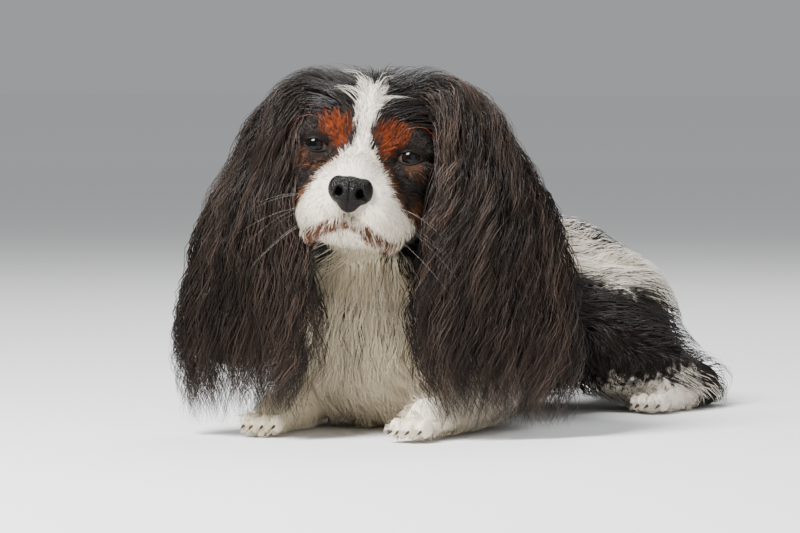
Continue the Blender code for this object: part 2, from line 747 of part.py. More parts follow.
def groove(name, path, radius):
    """A round groove's cutter along a path."""
    outline = bpy.data.curves.new(name, "CURVE")
    outline.dimensions = "3D"
    outline.bevel_depth = radius
    outline.bevel_resolution = 0
    outline.use_fill_caps = True
    line = outline.splines.new("POLY")
    line.points.add(len(path) - 1)
    for point, place in zip(line.points, path):
        point.co = (*place, 1)
    curve = place_object(name, outline)
    bpy.context.view_layer.update()
    graph = bpy.context.evaluated_depsgraph_get()
    mesh = bpy.data.meshes.new_from_object(curve.evaluated_get(graph))
    bpy.data.objects.remove(curve)
    shape = bmesh.new()
    shape.from_mesh(mesh)
    bmesh.ops.remove_doubles(shape, verts=shape.verts, dist=1e-6)
    return object_from(name, shape)


def sphere(name, centre, radii, frame=Matrix.Identity(4), segments=12):
    shape = bmesh.new()
    place = frame @ Matrix.Translation(centre) @ Matrix.Diagonal((*radii, 1))
    bmesh.ops.create_uvsphere(shape, u_segments=segments, v_segments=segments // 2 + 1, radius=1, matrix=place)
    return object_from(name, shape)


def body_forms():
    forms = [ball(centre, radii) for centre, radii in TRUNK.values()]
    for name, places in FLANKS.items():
        forms += [ball(place, FLANK_RADII[name]) for place in places.values()]
    for legs in (FORELEG, SHANK, HIND_FOOT):
        forms += [limb(stations) for stations in legs.values()]
    forms += [limb(NECK), limb(TAIL)]
    for place, turn in PAWS.values():
        forms += paw_forms(place, turn)
    return forms


def paw_forms(place, turn):
    """A foot: a low pad with four toes."""
    frame = Matrix.Translation(place) @ Matrix.Rotation(turn, 4, "Z")
    return [ball(*PAW_PAD, frame)] + [ball(toe, PAW_TOE_RADII, frame) for toe in PAW_TOES]


def head_forms():
    """The rounded forms of the head, with the lids over the eyes, and the eyes' places."""
    forms = [ball(centre, radii, HEAD_FRAME) for centre, radii in HEAD_MIDDLE.values()]
    for (x, y, z), radii in HEAD_PAIRS.values():
        forms += [ball((sign * x, y, z), radii, HEAD_FRAME) for sign in SIDES.values()]
    eyes = {side: eye_place(sign, forms) for side, sign in SIDES.items()}
    lid = EYE_RADIUS + GAP + LID_THICKNESS
    forms += [ball(place, (lid,) * 3, HEAD_FRAME) for place in eyes.values()]
    return forms, eyes


def eye_place(sign, forms):
    """The middle of an eyeball, sunk behind the skin of the face."""
    front = Vector((sign * EYE_SPACING / 2, -0.04, 0))
    for _ in range(12):
        front.y += forms_distance(np.array([HEAD_FRAME @ front]), forms, HEAD_BLEND)[0]
    return front + Vector((0, EYE_SUNK, 0))


def make_nose():
    forms = [ball(*NOSE_MIDDLE, HEAD_FRAME)]
    (x, y, z), radii = NOSE_WINGS
    forms += [ball((sign * x, y, z), radii, HEAD_FRAME) for sign in SIDES.values()]
    nose = round_block("nose", forms, NOSE_VOXEL, NOSE_BLEND, NOSE_TRIANGLES)
    clear = swollen(nose)
    holes = []
    for sign in SIDES.values():
        for (x, y, z), radii in (NOSTRIL, NOSTRIL_SLIT):
            holes.append(sphere("nostril", (sign * x, y, z), radii, HEAD_FRAME, 8))
    boolean(nose, "DIFFERENCE", holes)
    keep_largest(nose)
    return nose, clear


def on_skin(path, flesh):
    points = np.array([HEAD_FRAME @ Vector(point) for point in path])
    return [Vector(point) for point in to_level(points, flesh, steps=8)]


def shape_face(head, eye_places, flesh):
    """Opens the sockets, lids and lips of the head, and gives the eyeballs."""
    eyes = []
    for side, centre in eye_places.items():
        socket = sphere("socket", centre, (EYE_RADIUS + GAP,) * 3, HEAD_FRAME)
        wide, high = EYE_OPENING
        front = centre + Vector((0, -EYE_RADIUS, 0))
        opening = sphere("opening", front, (wide, EYE_RADIUS, high), HEAD_FRAME)
        boolean(socket, "UNION", [opening])
        boolean(head, "DIFFERENCE", [socket])
        eyes.append(sphere("eye_" + side, centre, (EYE_RADIUS,) * 3, HEAD_FRAME))
    half = on_skin(LIP_LINE, flesh)
    other = on_skin([(-x, y, z) for x, y, z in LIP_LINE], flesh)
    boolean(head, "DIFFERENCE", [groove("mouth", other[:0:-1] + half, MOUTH_GROOVE)])
    boolean(head, "DIFFERENCE", [groove("philtrum", on_skin(PHILTRUM, flesh), MOUTH_GROOVE * 0.7)])
    keep_largest(head)
    return eyes


def leg_cutter(name):
    """The space that one leg takes out of the whole body."""
    kind, side = name.split("_")
    paths = (FORELEG[side],) if kind == "foreleg" else (SHANK[side], HIND_FOOT[side])
    forms = [ball(*LEG_TOPS[name])]
    for path in paths:
        forms.append(limb([(place, radius + LEG_CUT_MARGIN) for place, radius in path]))
    place, _ = PAWS[name]
    forms.append(ball(place, PAW_CUT_RADII))
    return round_block("cutter", forms, CUTTER_VOXEL, BODY_BLEND / 4, CUTTER_TRIANGLES)


def tail_cutter():
    path = [(place, radius + LEG_CUT_MARGIN) for place, radius in TAIL]
    return round_block("cutter", [limb(path)], CUTTER_VOXEL, BODY_BLEND / 4, CUTTER_TRIANGLES)


def finish_material(made):
    """Gives a node its colour and roughness, by the first word of its name."""
    colour, roughness = FINISHES[made.name.split("_")[0]]
    material = bpy.data.materials.new(made.name + "_finish")
    material.use_nodes = True
    shader = material.node_tree.nodes["Principled BSDF"]
    shader.inputs["Base Color"].default_value = colour
    shader.inputs["Roughness"].default_value = roughness
    shader.inputs["Metallic"].default_value = 0
    made.data.materials.clear()
    made.data.materials.append(material)
    made.data.shade_smooth()


def main():
    clear_scene()
    (head_parts, eye_places), body_parts = head_forms(), body_forms()

    def flesh(points):
        return flesh_distance(points, head_parts, body_parts)

    # Flesh
    head = skin_over("head", head_parts + [limb(NECK[:2])], flesh, HEAD_VOXEL, HEAD_TRIANGLES)
    torso = skin_over("torso", body_parts, flesh, BODY_VOXEL, BODY_TRIANGLES)
    boolean(torso, "DIFFERENCE", [half_space(Vector((0, 0, 0)), Vector((0, 0, -1)))])
    point, normal = HEAD_CUT
    boolean(head, "DIFFERENCE", [half_space(point, normal)])
    boolean(torso, "DIFFERENCE", [half_space(point, -normal, -GAP)])
    keep_largest(head)
    keep_largest(torso)
    neck = split_at(torso, NECK_CUT, "neck")
    legs = [split_off(torso, leg_cutter(name), name) for name in LEG_TOPS]
    tail = split_off(torso, tail_cutter(), "tail")

    # Coat
    flesh_nodes = {made.name: made for made in (head, neck, torso, tail, *legs)}
    cores = {name: swollen(made) for name, made in flesh_nodes.items()}

    def clear_body(points):
        return forms_distance(points, body_parts, BODY_BLEND)

    growing = {name: (lambda swell=0.0, name=name: body_locks(name, flesh, swell)) for name in BODY_LOCKS}
    growing["tail"] = tail_locks
    done = []
    for name in LOCK_ORDER:
        grow_locks(flesh_nodes[name], growing[name](), cores, growing, done)
        done.append(name)
    ears = []
    for side in SIDES:
        ear = ear_core(side)
        boolean(ear, "DIFFERENCE", [copy_of(core, "cutter") for core in cores.values()])
        keep_largest(ear)
        grow_locks(ear, ear_locks(side, clear_body), cores, growing, done)
        ears.append(ear)
    for core in cores.values():
        bpy.data.objects.remove(core)

    # Face
    nose, nose_space = make_nose()
    boolean(head, "DIFFERENCE", [nose_space])
    eyes = shape_face(head, eye_places, flesh)

    group = bpy.data.collections.new("cavalier_king_charles_spaniel")
    bpy.context.scene.collection.children.link(group)
    for made in (*flesh_nodes.values(), *ears, nose, *eyes):
        finish_material(made)
        bpy.context.scene.collection.objects.unlink(made)
        group.objects.link(made)


main()
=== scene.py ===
"""The coat, skin, eyes and nose of a life-size cavalier king charles spaniel that lies on its chest.

One skin is shaped from the same rounded forms as the solids and lies a little inside them. The coat grows
on it as closed tapered tufts and locks of mesh, and both take their colours from one set of markings.
"""

import math

import bpy
import numpy as np
from mathutils import Matrix, Vector


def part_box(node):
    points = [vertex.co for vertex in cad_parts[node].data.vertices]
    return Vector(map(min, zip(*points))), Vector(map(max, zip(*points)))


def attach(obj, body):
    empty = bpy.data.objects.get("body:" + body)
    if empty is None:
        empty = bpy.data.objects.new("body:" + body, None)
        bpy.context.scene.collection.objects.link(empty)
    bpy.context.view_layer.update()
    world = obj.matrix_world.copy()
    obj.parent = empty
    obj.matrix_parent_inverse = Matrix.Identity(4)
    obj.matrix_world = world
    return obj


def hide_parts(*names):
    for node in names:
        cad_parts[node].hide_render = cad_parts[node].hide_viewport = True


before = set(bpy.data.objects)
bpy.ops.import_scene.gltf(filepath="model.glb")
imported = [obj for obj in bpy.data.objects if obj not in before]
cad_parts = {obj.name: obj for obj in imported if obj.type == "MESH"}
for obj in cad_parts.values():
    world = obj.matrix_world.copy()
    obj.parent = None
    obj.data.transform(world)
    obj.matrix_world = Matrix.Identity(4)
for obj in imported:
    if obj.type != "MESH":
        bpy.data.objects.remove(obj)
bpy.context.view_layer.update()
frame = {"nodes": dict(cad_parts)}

# Camera: it looks at the face from a little above the ground. The picture is 800 by 533 pixels.
PICTURE_WIDTH = 800
PICTURE_HEIGHT = 533
PIXEL_AT_FACE = 0.00065
CAMERA_SIDE = math.radians(30)
CAMERA_RISE = math.radians(2.5)
CAMERA_DISTANCE = 3.0
EYES_IN_PICTURE = (362, 151)

# Head
EYE_SPACING = 0.062
EYE_RADIUS = 0.0105
EYE_SUNK = 0.0088
LID_THICKNESS = 0.0025
EYE_HALF_WIDTH = 0.0084
EYE_HALF_HEIGHT = 0.0050
EYE_SLANT = math.radians(6)
HEAD_TURN = math.radians(25)
HEAD_NOD = math.radians(-4)
HEAD_TILT = math.radians(8)
HEAD_PLACE = Vector((0.040, -0.130, 0.188))
HEAD_FRAME = (
    Matrix.Translation(HEAD_PLACE)
    @ Matrix.Rotation(HEAD_TURN, 4, "Z")
    @ Matrix.Rotation(HEAD_NOD, 4, "X")
    @ Matrix.Rotation(HEAD_TILT, 4, "Y")
)
EAR_FRAME = Matrix.Translation(HEAD_PLACE) @ Matrix.Rotation(HEAD_TURN, 4, "Z")
SIDES = {"left": 1, "right": -1}

# Rounded forms of the head, in its own frame, with the origin midway between the eyes: centre, radii
HEAD_MIDDLE = {
    "cranium": ((0, 0.052, 0.017), (0.040, 0.046, 0.035)),
    "forehead": ((0, 0.031, 0.016), (0.031, 0.028, 0.028)),
    "occiput": ((0, 0.084, 0.006), (0.028, 0.024, 0.028)),
    "stop": ((0, 0.010, -0.004), (0.014, 0.016, 0.014)),
    "bridge": ((0, -0.006, -0.014), (0.0125, 0.022, 0.0105)),
    "bridge_front": ((0, -0.022, -0.022), (0.0145, 0.016, 0.011)),
    "chin": ((0, -0.012, -0.053), (0.012, 0.014, 0.008)),
    "jaw": ((0, 0.014, -0.048), (0.021, 0.032, 0.013)),
    "throat": ((0, 0.052, -0.036), (0.032, 0.038, 0.030)),
}
HEAD_PAIRS = {
    "brow": ((0.022, 0.014, 0.010), (0.015, 0.012, 0.009)),
    "temple": ((0.030, 0.038, 0.004), (0.016, 0.028, 0.022)),
    "cheekbone": ((0.034, 0.026, -0.012), (0.012, 0.022, 0.013)),
    "cheek": ((0.027, 0.026, -0.034), (0.018, 0.028, 0.021)),
    "flew": ((0.0155, -0.018, -0.042), (0.0155, 0.019, 0.018)),
    "flew_back": ((0.023, 0.002, -0.044), (0.011, 0.022, 0.016)),
    "muzzle_side": ((0.017, -0.004, -0.028), (0.012, 0.022, 0.014)),
}
NOSE_FORMS = (
    ((0, -0.0375, -0.0275), (0.0100, 0.0070, 0.0092)),
    ((0.0088, -0.0355, -0.0270), (0.0058, 0.0062, 0.0080)),
    ((-0.0088, -0.0355, -0.0270), (0.0058, 0.0062, 0.0080)),
    ((0, -0.0372, -0.0350), (0.0066, 0.0058, 0.0068)),
)
NOSTRIL = (0.0066, -0.0290)
NOSTRIL_SLIT = (0.0118, -0.0328)
LIP_LINE = (
    (0.000, -0.036, -0.0480),
    (0.007, -0.036, -0.0510),
    (0.014, -0.033, -0.0560),
    (0.021, -0.026, -0.0590),
    (0.027, -0.014, -0.0600),
    (0.031, 0.000, -0.0590),
    (0.033, 0.010, -0.0550),
)

# Rounded forms of the body: centre, radii, or places and radii along a limb
TRUNK = {
    "breast": ((0.010, -0.046, 0.082), (0.046, 0.050, 0.052)),
    "brisket": ((0.002, 0.000, 0.060), (0.060, 0.084, 0.064)),
    "withers": ((-0.002, 0.024, 0.112), (0.044, 0.068, 0.042)),
    "barrel": ((-0.010, 0.086, 0.074), (0.066, 0.100, 0.070)),
    "loin": ((-0.006, 0.155, 0.076), (0.058, 0.078, 0.060)),
    "croup": ((0.006, 0.206, 0.074), (0.052, 0.054, 0.054)),
}
FLANKS = {
    "shoulder": {"left": (0.044, -0.020, 0.074), "right": (-0.036, -0.034, 0.074)},
    "haunch": {"left": (0.058, 0.202, 0.060), "right": (-0.046, 0.210, 0.060)},
}
FLANK_RADII = {"shoulder": (0.022, 0.046, 0.046), "haunch": (0.032, 0.052, 0.044)}
NECK = (
    ((0.012, -0.085, 0.180), 0.034),
    ((0.010, -0.068, 0.160), 0.040),
    ((0.006, -0.038, 0.132), 0.045),
    ((0.000, 0.000, 0.108), 0.046),
)
FORELEG = {
    "left": (
        ((0.054, 0.030, 0.038), 0.020),
        ((0.064, 0.010, 0.028), 0.020),
        ((0.068, -0.034, 0.019), 0.016),
        ((0.073, -0.080, 0.014), 0.013),
        ((0.075, -0.104, 0.014), 0.014),
    ),
    "right": (
        ((-0.056, 0.022, 0.038), 0.020),
        ((-0.060, 0.002, 0.028), 0.020),
        ((-0.052, -0.044, 0.019), 0.016),
        ((-0.040, -0.088, 0.014), 0.013),
        ((-0.036, -0.111, 0.014), 0.014),
    ),
}
SHANK = {
    "left": (
        ((0.076, 0.166, 0.040), 0.022),
        ((0.084, 0.200, 0.031), 0.019),
        ((0.088, 0.234, 0.021), 0.014),
        ((0.091, 0.254, 0.016), 0.011),
    ),
    "right": (
        ((-0.074, 0.176, 0.040), 0.022),
        ((-0.080, 0.210, 0.031), 0.019),
        ((-0.084, 0.242, 0.021), 0.014),
        ((-0.086, 0.264, 0.016), 0.011),
    ),
}
HIND_FOOT = {
    "left": (
        ((0.093, 0.258, 0.012), 0.010),
        ((0.097, 0.224, 0.010), 0.011),
        ((0.099, 0.190, 0.010), 0.012),
    ),
    "right": (
        ((-0.088, 0.268, 0.012), 0.010),
        ((-0.094, 0.234, 0.010), 0.011),
        ((-0.098, 0.200, 0.010), 0.012),
    ),
}
PAWS = {
    "foreleg_left": ((0.077, -0.122, 0.011), math.radians(6)),
    "foreleg_right": ((-0.032, -0.130, 0.011), math.radians(13)),
    "hindleg_left": ((0.100, 0.176, 0.010), math.radians(2)),
    "hindleg_right": ((-0.101, 0.186, 0.010), math.radians(-6)),
}
PAW_PAD = ((0, 0.010, 0.001), (0.013, 0.018, 0.010))
PAW_TOES = (
    (-0.0105, -0.010, -0.002),
    (-0.0036, -0.014, -0.002),
    (0.0036, -0.014, -0.002),
    (0.0105, -0.010, -0.002),
)
PAW_TOE_RADII = (0.0042, 0.010, 0.0075)
TAIL = (
    ((0.014, 0.236, 0.086), 0.014),
    ((0.018, 0.264, 0.062), 0.013),
    ((0.017, 0.290, 0.037), 0.011),
    ((0.012, 0.316, 0.019), 0.010),
    ((0.002, 0.344, 0.011), 0.009),
    ((-0.014, 0.372, 0.009), 0.007),
    ((-0.036, 0.398, 0.007), 0.005),
)
BODY_BLEND = 0.010
HEAD_BLEND = 0.0045
NECK_BLEND = 0.009
NOSE_BLEND = 0.0016
PAW_BLEND = 0.0016
PAW_REACH = 0.034

# Each ear's sheet from its root to its tips: place, half width, half thickness, turn and tilt in degrees
EAR_SHEET = (
    ((0.022, 0.043, 0.030), 0.012, 0.0050, 84, 75),
    ((0.036, 0.043, 0.035), 0.018, 0.0062, 74, 58),
    ((0.049, 0.041, 0.029), 0.023, 0.0068, 64, 38),
    ((0.059, 0.038, 0.014), 0.027, 0.0072, 55, 15),
    ((0.066, 0.035, -0.006), 0.031, 0.0075, 48, 0),
    ((0.075, 0.030, -0.032), 0.038, 0.0080, 38, 0),
    ((0.077, 0.026, -0.065), 0.046, 0.0085, 31, 0),
    ((0.078, 0.022, -0.100), 0.052, 0.0080, 28, 0),
    ((0.079, 0.018, -0.135), 0.055, 0.0065, 27, 0),
    ((0.080, 0.016, -0.163), 0.046, 0.0040, 27, 0),
)
EAR_SPREAD = {"left": 1.10, "right": 0.96}
EAR_CUP = 0.004
EAR_LEATHER_END = 8.3
DOME_RADIUS = 0.011
DOME_BLEND = 0.006

# Skin
SKIN_VOXEL = 0.0030
FACE_MIDDLE = (0, 0.005, -0.012)
FACE_REACH = 0.072
LEG_COAT_TOP = 0.04
EYE_REACH = 0.019
FACE_COAT_DEPTH = 0.0012
BODY_COAT_DEPTH = 0.0035
FLOOR_CLEARANCE = 0.0008
FIELD_STEP = 0.004
FIELD_MARGIN = 0.03
BLOCK_POINTS = 20000
SMALL_STEP = 1e-4

# Eyes' openings and the line of the lips on the skin
LID_EDGE = EYE_RADIUS + 0.0009
SKIN_BEHIND_EYE = 0.0016
LID_FOLD = 0.0007
LID_FOLD_PLACE = 1.75
LIP_GROOVE = 0.0022
LIP_GROOVE_WIDTH = 0.0014

# Rods along the lids: half thickness, their part of the turn, scale of the opening, whether they close
LID_RODS = {
    "lid_rim_": (0.00080, slice(None), 1.05, True),
    "tear_glint_line_": (0.00030, slice(33, 58), 0.95, False),
}

# Colours of the hair, from its root to its tip: the darker roots are painted shade deep in the coat, and the
# paler tips of the black hair are a painted sheen
BLACK_HAIR = ((0.0060, 0.0046, 0.0042), (0.022, 0.0155, 0.0125))
WHITE_HAIR = ((0.62, 0.53, 0.42), (0.93, 0.88, 0.79))
CREAM_HAIR = ((0.74, 0.63, 0.44), (0.92, 0.83, 0.65))
RUST_HAIR = ((0.040, 0.007, 0.002), (0.205, 0.035, 0.004))
TAN_HAIR = ((0.05, 0.017, 0.006), (0.20, 0.075, 0.024))
# Hair along the mouth: its stain colour, also laid along the lip line as painted shade in the crease
STAIN_AND_SHADE_HAIR = ((0.050, 0.013, 0.005), (0.160, 0.050, 0.016))
WHISKER_GREY = ((0.30, 0.27, 0.24), (0.50, 0.46, 0.42))
HAIR_KINDS = (BLACK_HAIR, WHITE_HAIR, CREAM_HAIR, RUST_HAIR, TAN_HAIR, STAIN_AND_SHADE_HAIR)

# Edges of the white blaze and muzzle in the head's frame, in millimetres: height, right edge, left edge
BLAZE = (
    (-70, -46, 46),
    (-44, -40, 42),
    (-35, -30.5, 33),
    (-25, -26.5, 26),
    (-15, -22, 19.5),
    (-4.5, -12.5, 12),
    (0, -8.6, 8.2),
    (5.6, -4.0, 4.6),
    (12.8, -4.6, 3.2),
    (18.7, -8.0, 4.0),
    (26, -8.0, 6.0),
    (34, -8.5, 9.0),
    (40, -8.0, 5.0),
    (48, -6.0, 0.5),
    (54, -4.0, -2.0),
)
MUZZLE_BACK = 10
BLAZE_END = 25

# Rust spots over the eyes, in the head's frame and millimetres: centre, radii
BROW_SPOTS = (
    ((-19.5, -1, 14.0), (10.5, 12, 8.2)),
    ((-14.8, -4, 4.5), (4.6, 9, 6.0)),
    ((17.5, -1, 12.2), (11.0, 12, 8.0)),
    ((14.6, -4, 2.5), (4.6, 9, 5.5)),
)
# Tan spots on the cheeks: strength, centre, radii
CHEEK_SPOTS = (
    (0.32, (-40, 2, -8), (6, 12, 5.5)),
    (0.30, (-29, -4, -13.5), (10, 10, 4.0)),
    (0.26, (37, 2, -7.5), (7, 12, 4.5)),
    (0.85, (41, 6, -33), (5, 12, 8)),
    (0.85, (-31, -12, -33), (5, 12, 8)),
)

# Counts and sizes of the coat
PATCH = 0.003
FACE_TUFTS = 18000
CROWN_TUFTS = 3300
FRINGE_HAIRS = 2400
WHISKER_HALF_WIDTH = 0.00007
# Layers of an ear's hair: locks, hairs in each, rings, first and last level of their roots
EAR_LAYERS = {
    "upper": (100, 14, 13, 0.05, 3.6),
    "lower": (130, 15, 13, 3.2, 6.6),
    "back": (70, 20, 10, 0.2, 6.4),
}
EAR_WAVE = 0.0050
EAR_WAVE_LENGTH = 0.044
# Colour of the ears' hair from root to tip: the dark roots are painted shade deep in the locks, and the
# paler brown tips are a painted sheen
EAR_HAIR = ((0.0046, 0.0032, 0.0027), (0.032, 0.021, 0.0155))

# Colours of eyes, nose and claws
IRIS_BROWN = (0.0075, 0.0036, 0.0020)
EYE_WHITE = (0.10, 0.075, 0.062)
PUPIL_BLACK = (0.002, 0.002, 0.002)
LID_BLACK = (0.005, 0.004, 0.0035)
# The wet line along the lower lid is pale grey as a painted glint on the wet rim
TEAR_GLINT_GREY = (0.17, 0.15, 0.145)
NOSE_COLOUR = (0.0048, 0.0040, 0.0037)
CLAW_BROWN = (0.045, 0.032, 0.024)

# Studio lights: name, turn from the camera and rise in degrees, distance, size, power
LIGHTS = (
    ("key", -40, 48, 1.9, 0.7, 122.0),
    ("fill", 20, 14, 2.6, 1.8, 14.0),
    ("back", 165, 50, 2.2, 1.2, 30.0),
)
LIGHTS_AIM = Vector((0.02, -0.02, 0.12))
SKY_COLOUR = (0.86, 0.88, 0.90, 1)
SKY_STRENGTH = 0.42
FLOOR_SIZE = 60
FLOOR_GAP = 0.0004
# The floor's colour grows paler with distance from the middle: painted brightening, so the far floor meets
# the sky without a visible horizon
FLOOR_PALENESS = {"From Min": 1.0, "From Max": 9.0, "To Min": 0.80, "To Max": 0.97}


def smooth_step(low, high, value):
    share = np.clip((value - low) / (high - low), 0, 1)
    return share * share * (3 - 2 * share)


def unit(vectors):
    return vectors / (np.linalg.norm(vectors, axis=-1, keepdims=True) + 1e-12)


def into(frame_matrix, points):
    """Points of the world in the coordinates of a frame."""
    inverse = np.array(frame_matrix.inverted())
    return points @ inverse[:3, :3].T + inverse[:3, 3]


def out_of(frame_matrix, points):
    """Points of a frame in the coordinates of the world."""
    matrix = np.array(frame_matrix)
    return points @ matrix[:3, :3].T + matrix[:3, 3]


def turned(frame_matrix, vectors):
    return vectors @ np.array(frame_matrix)[:3, :3].T


def keep_above_floor(points, clearance=FLOOR_CLEARANCE):
    points[..., 2] = np.maximum(points[..., 2], clearance)


def placed(name, data):
    """Puts new data into the scene as an object."""
    made = bpy.data.objects.new(name, data)
    bpy.context.scene.collection.objects.link(made)
    return made


def place_camera():
    """Sets the camera so that the point between the eyes falls on its pixel of the picture."""
    side, rise = CAMERA_SIDE, CAMERA_RISE
    ahead = Vector((-math.sin(side) * math.cos(rise), math.cos(side) * math.cos(rise), -math.sin(rise)))
    across = Vector((math.cos(side), math.sin(side), 0))
    up = across.cross(ahead)
    right = (EYES_IN_PICTURE[0] - PICTURE_WIDTH / 2) * PIXEL_AT_FACE
    above = (PICTURE_HEIGHT / 2 - EYES_IN_PICTURE[1]) * PIXEL_AT_FACE
    place = HEAD_PLACE - ahead * CAMERA_DISTANCE - across * right - up * above
    data = bpy.data.cameras.new("camera")
    data.lens = data.sensor_width * CAMERA_DISTANCE / (PICTURE_WIDTH * PIXEL_AT_FACE)
    camera = placed("camera", data)
    columns = (across, up, -ahead, place)
    camera.matrix_world = Matrix([[column[row] for column in columns] for row in range(3)] + [[0, 0, 0, 1]])
    bpy.context.scene.camera = camera


# Forms
def ball(centre, radii, frame_matrix=Matrix.Identity(4)):
    return {"frame": frame_matrix @ Matrix.Translation(centre), "radii": radii}


def limb(stations):
    return {"stations": [(Vector(place), radius) for place, radius in stations]}


def distance_outside(form, points):
    """About how far each point lies outside a form, less than zero inside it."""
    if "radii" in form:
        scaled = into(form["frame"], points) / form["radii"]
        reach = np.linalg.norm(scaled, axis=1) + 1e-9
        steep = np.linalg.norm(scaled / form["radii"], axis=1) + 1e-9
        return reach * (reach - 1) / steep
    nearest = np.full(len(points), np.inf)
    for (start, r0), (end, r1) in zip(form["stations"], form["stations"][1:]):
        along = np.array(end - start)
        share = np.clip((points - np.array(start)) @ along / (along @ along), 0, 1)
        middle = np.array(start) + share[:, None] * along
        gap = np.linalg.norm(points - middle, axis=1) - (r0 + share * (r1 - r0))
        nearest = np.minimum(nearest, gap)
    return nearest


def soft_least(gaps, blend):
    """The least of several distances, rounded off where they meet."""
    gaps = np.array(gaps)
    least = gaps.min(axis=0)
    return least - blend * np.log(np.exp(-(gaps - least) / blend).sum(axis=0))


def forms_distance(points, forms, blend):
    return soft_least([distance_outside(form, points) for form in forms], blend)


def slope_of(distance, points):
    """The direction that leads away from the flesh at each point."""
    here = distance(points)
    slope = np.stack([distance(points + SMALL_STEP * axis) - here for axis in np.eye(3)], axis=1)
    return unit(slope)


def to_level(points, distance, level=0.0, steps=4):
    """Moves points to where a distance has a given value."""
    for _ in range(steps):
        points = points - slope_of(distance, points) * (distance(points) - level)[:, None]
    return points


def body_forms():
    forms = [ball(centre, radii) for centre, radii in TRUNK.values()]
    for name, places in FLANKS.items():
        forms += [ball(place, FLANK_RADII[name]) for place in places.values()]
    for legs in (FORELEG, SHANK, HIND_FOOT):
        forms += [limb(stations) for stations in legs.values()]
    return forms + [limb(NECK), limb(TAIL)]


def paw_frame(name):
    place, turn = PAWS[name]
    return Matrix.Translation(place) @ Matrix.Rotation(turn, 4, "Z")


def paw_forms(name):
    """The pad and the toes of one paw."""
    paw = paw_frame(name)
    return [ball(*PAW_PAD, paw)] + [ball(toe, PAW_TOE_RADII, paw) for toe in PAW_TOES]


def head_forms():
    """The rounded forms of the head, with the lids over the eyes, and the eyes' places in its frame."""
    forms = [ball(centre, radii, HEAD_FRAME) for centre, radii in HEAD_MIDDLE.values()]
    for (x, y, z), radii in HEAD_PAIRS.values():
        forms += [ball((sign * x, y, z), radii, HEAD_FRAME) for sign in SIDES.values()]
    eyes = {}
    for side, sign in SIDES.items():
        front = Vector((sign * EYE_SPACING / 2, -0.04, 0))
        for _ in range(12):
            front.y += forms_distance(np.array([HEAD_FRAME @ front]), forms, HEAD_BLEND)[0]
        eyes[side] = front + Vector((0, EYE_SUNK, 0))
    forms += [ball(place, (EYE_RADIUS + LID_THICKNESS,) * 3, HEAD_FRAME) for place in eyes.values()]
    return forms, eyes


HEAD_FORMS, EYE_PLACES = head_forms()
BODY_FORMS = body_forms()
PAW_FORMS = [form for name in PAWS for form in paw_forms(name)]


def in_blocks(distance, points):
    """A distance worked out for a limited number of points at a time."""
    blocks = np.array_split(points, len(points) // BLOCK_POINTS + 1)
    return np.concatenate([distance(block) for block in blocks])


def flesh(points):
    """How far each point lies outside the soft blend of the head and the body."""
    def blended(block):
        head_gap = forms_distance(block, HEAD_FORMS, HEAD_BLEND)
        body_gap = forms_distance(block, BODY_FORMS, BODY_BLEND)
        gap = soft_least([head_gap, body_gap], NECK_BLEND)
        return soft_least([gap, forms_distance(block, PAW_FORMS, PAW_BLEND)], PAW_BLEND)

    return in_blocks(blended, points)


def head_dome(points):
    """The distance from the head and the roots of its ears, which the hair of the crown runs over."""
    forms = list(HEAD_FORMS)
    for side, sign in SIDES.items():
        places = [Vector((sign * EAR_SPREAD[side] * x, y, z)) for (x, y, z), *_ in EAR_SHEET[:6]]
        forms.append(limb([(EAR_FRAME @ place, DOME_RADIUS) for place in places]))
    return in_blocks(lambda block: forms_distance(block, forms, DOME_BLEND), points)


class Field:
    """A distance kept on an even block of points, for the quick combing of many hairs."""

    def __init__(self, distance, nodes):
        boxes = np.array([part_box(name) for name in nodes])
        low, high = boxes[:, 0].min(axis=0), boxes[:, 1].max(axis=0)
        self.low = low - FIELD_MARGIN
        counts = np.ceil((high + FIELD_MARGIN - self.low) / FIELD_STEP).astype(int) + 1
        axes = [self.low[i] + FIELD_STEP * np.arange(counts[i]) for i in range(3)]
        points = np.stack(np.meshgrid(*axes, indexing="ij"), axis=-1).reshape(-1, 3)
        gaps = distance(points).reshape(counts)
        slopes = np.stack(np.gradient(gaps, FIELD_STEP), axis=-1)
        self.values = np.concatenate([gaps[..., None], slopes], axis=-1)
        self.last = counts - 2

    def at(self, points):
        """The distance and the outward direction at each point."""
        spots = (points - self.low) / FIELD_STEP
        cells = np.clip(np.floor(spots).astype(int), 0, self.last)
        share = np.clip(spots - cells, 0, 1)
        total = 0
        for corner in np.ndindex(2, 2, 2):
            weight = np.prod(np.where(corner, share, 1 - share), axis=1)
            total = total + weight[:, None] * self.values[tuple((cells + corner).T)]
        return total[:, 0], unit(total[:, 1:])


# Mesh work
def choose(pieces):
    """Selects these pieces alone, with the first one active."""
    if bpy.context.object and bpy.context.object.mode != "OBJECT":
        bpy.ops.object.mode_set(mode="OBJECT")
    bpy.ops.object.select_all(action="DESELECT")
    for piece in pieces:
        piece.select_set(True)
    bpy.context.view_layer.objects.active = pieces[0]


def add_sphere(matrix, segments=24, rings=14):
    bpy.ops.mesh.primitive_uv_sphere_add(segments=segments, ring_count=rings, radius=1)
    made = bpy.context.object
    made.data.transform(matrix)
    return made


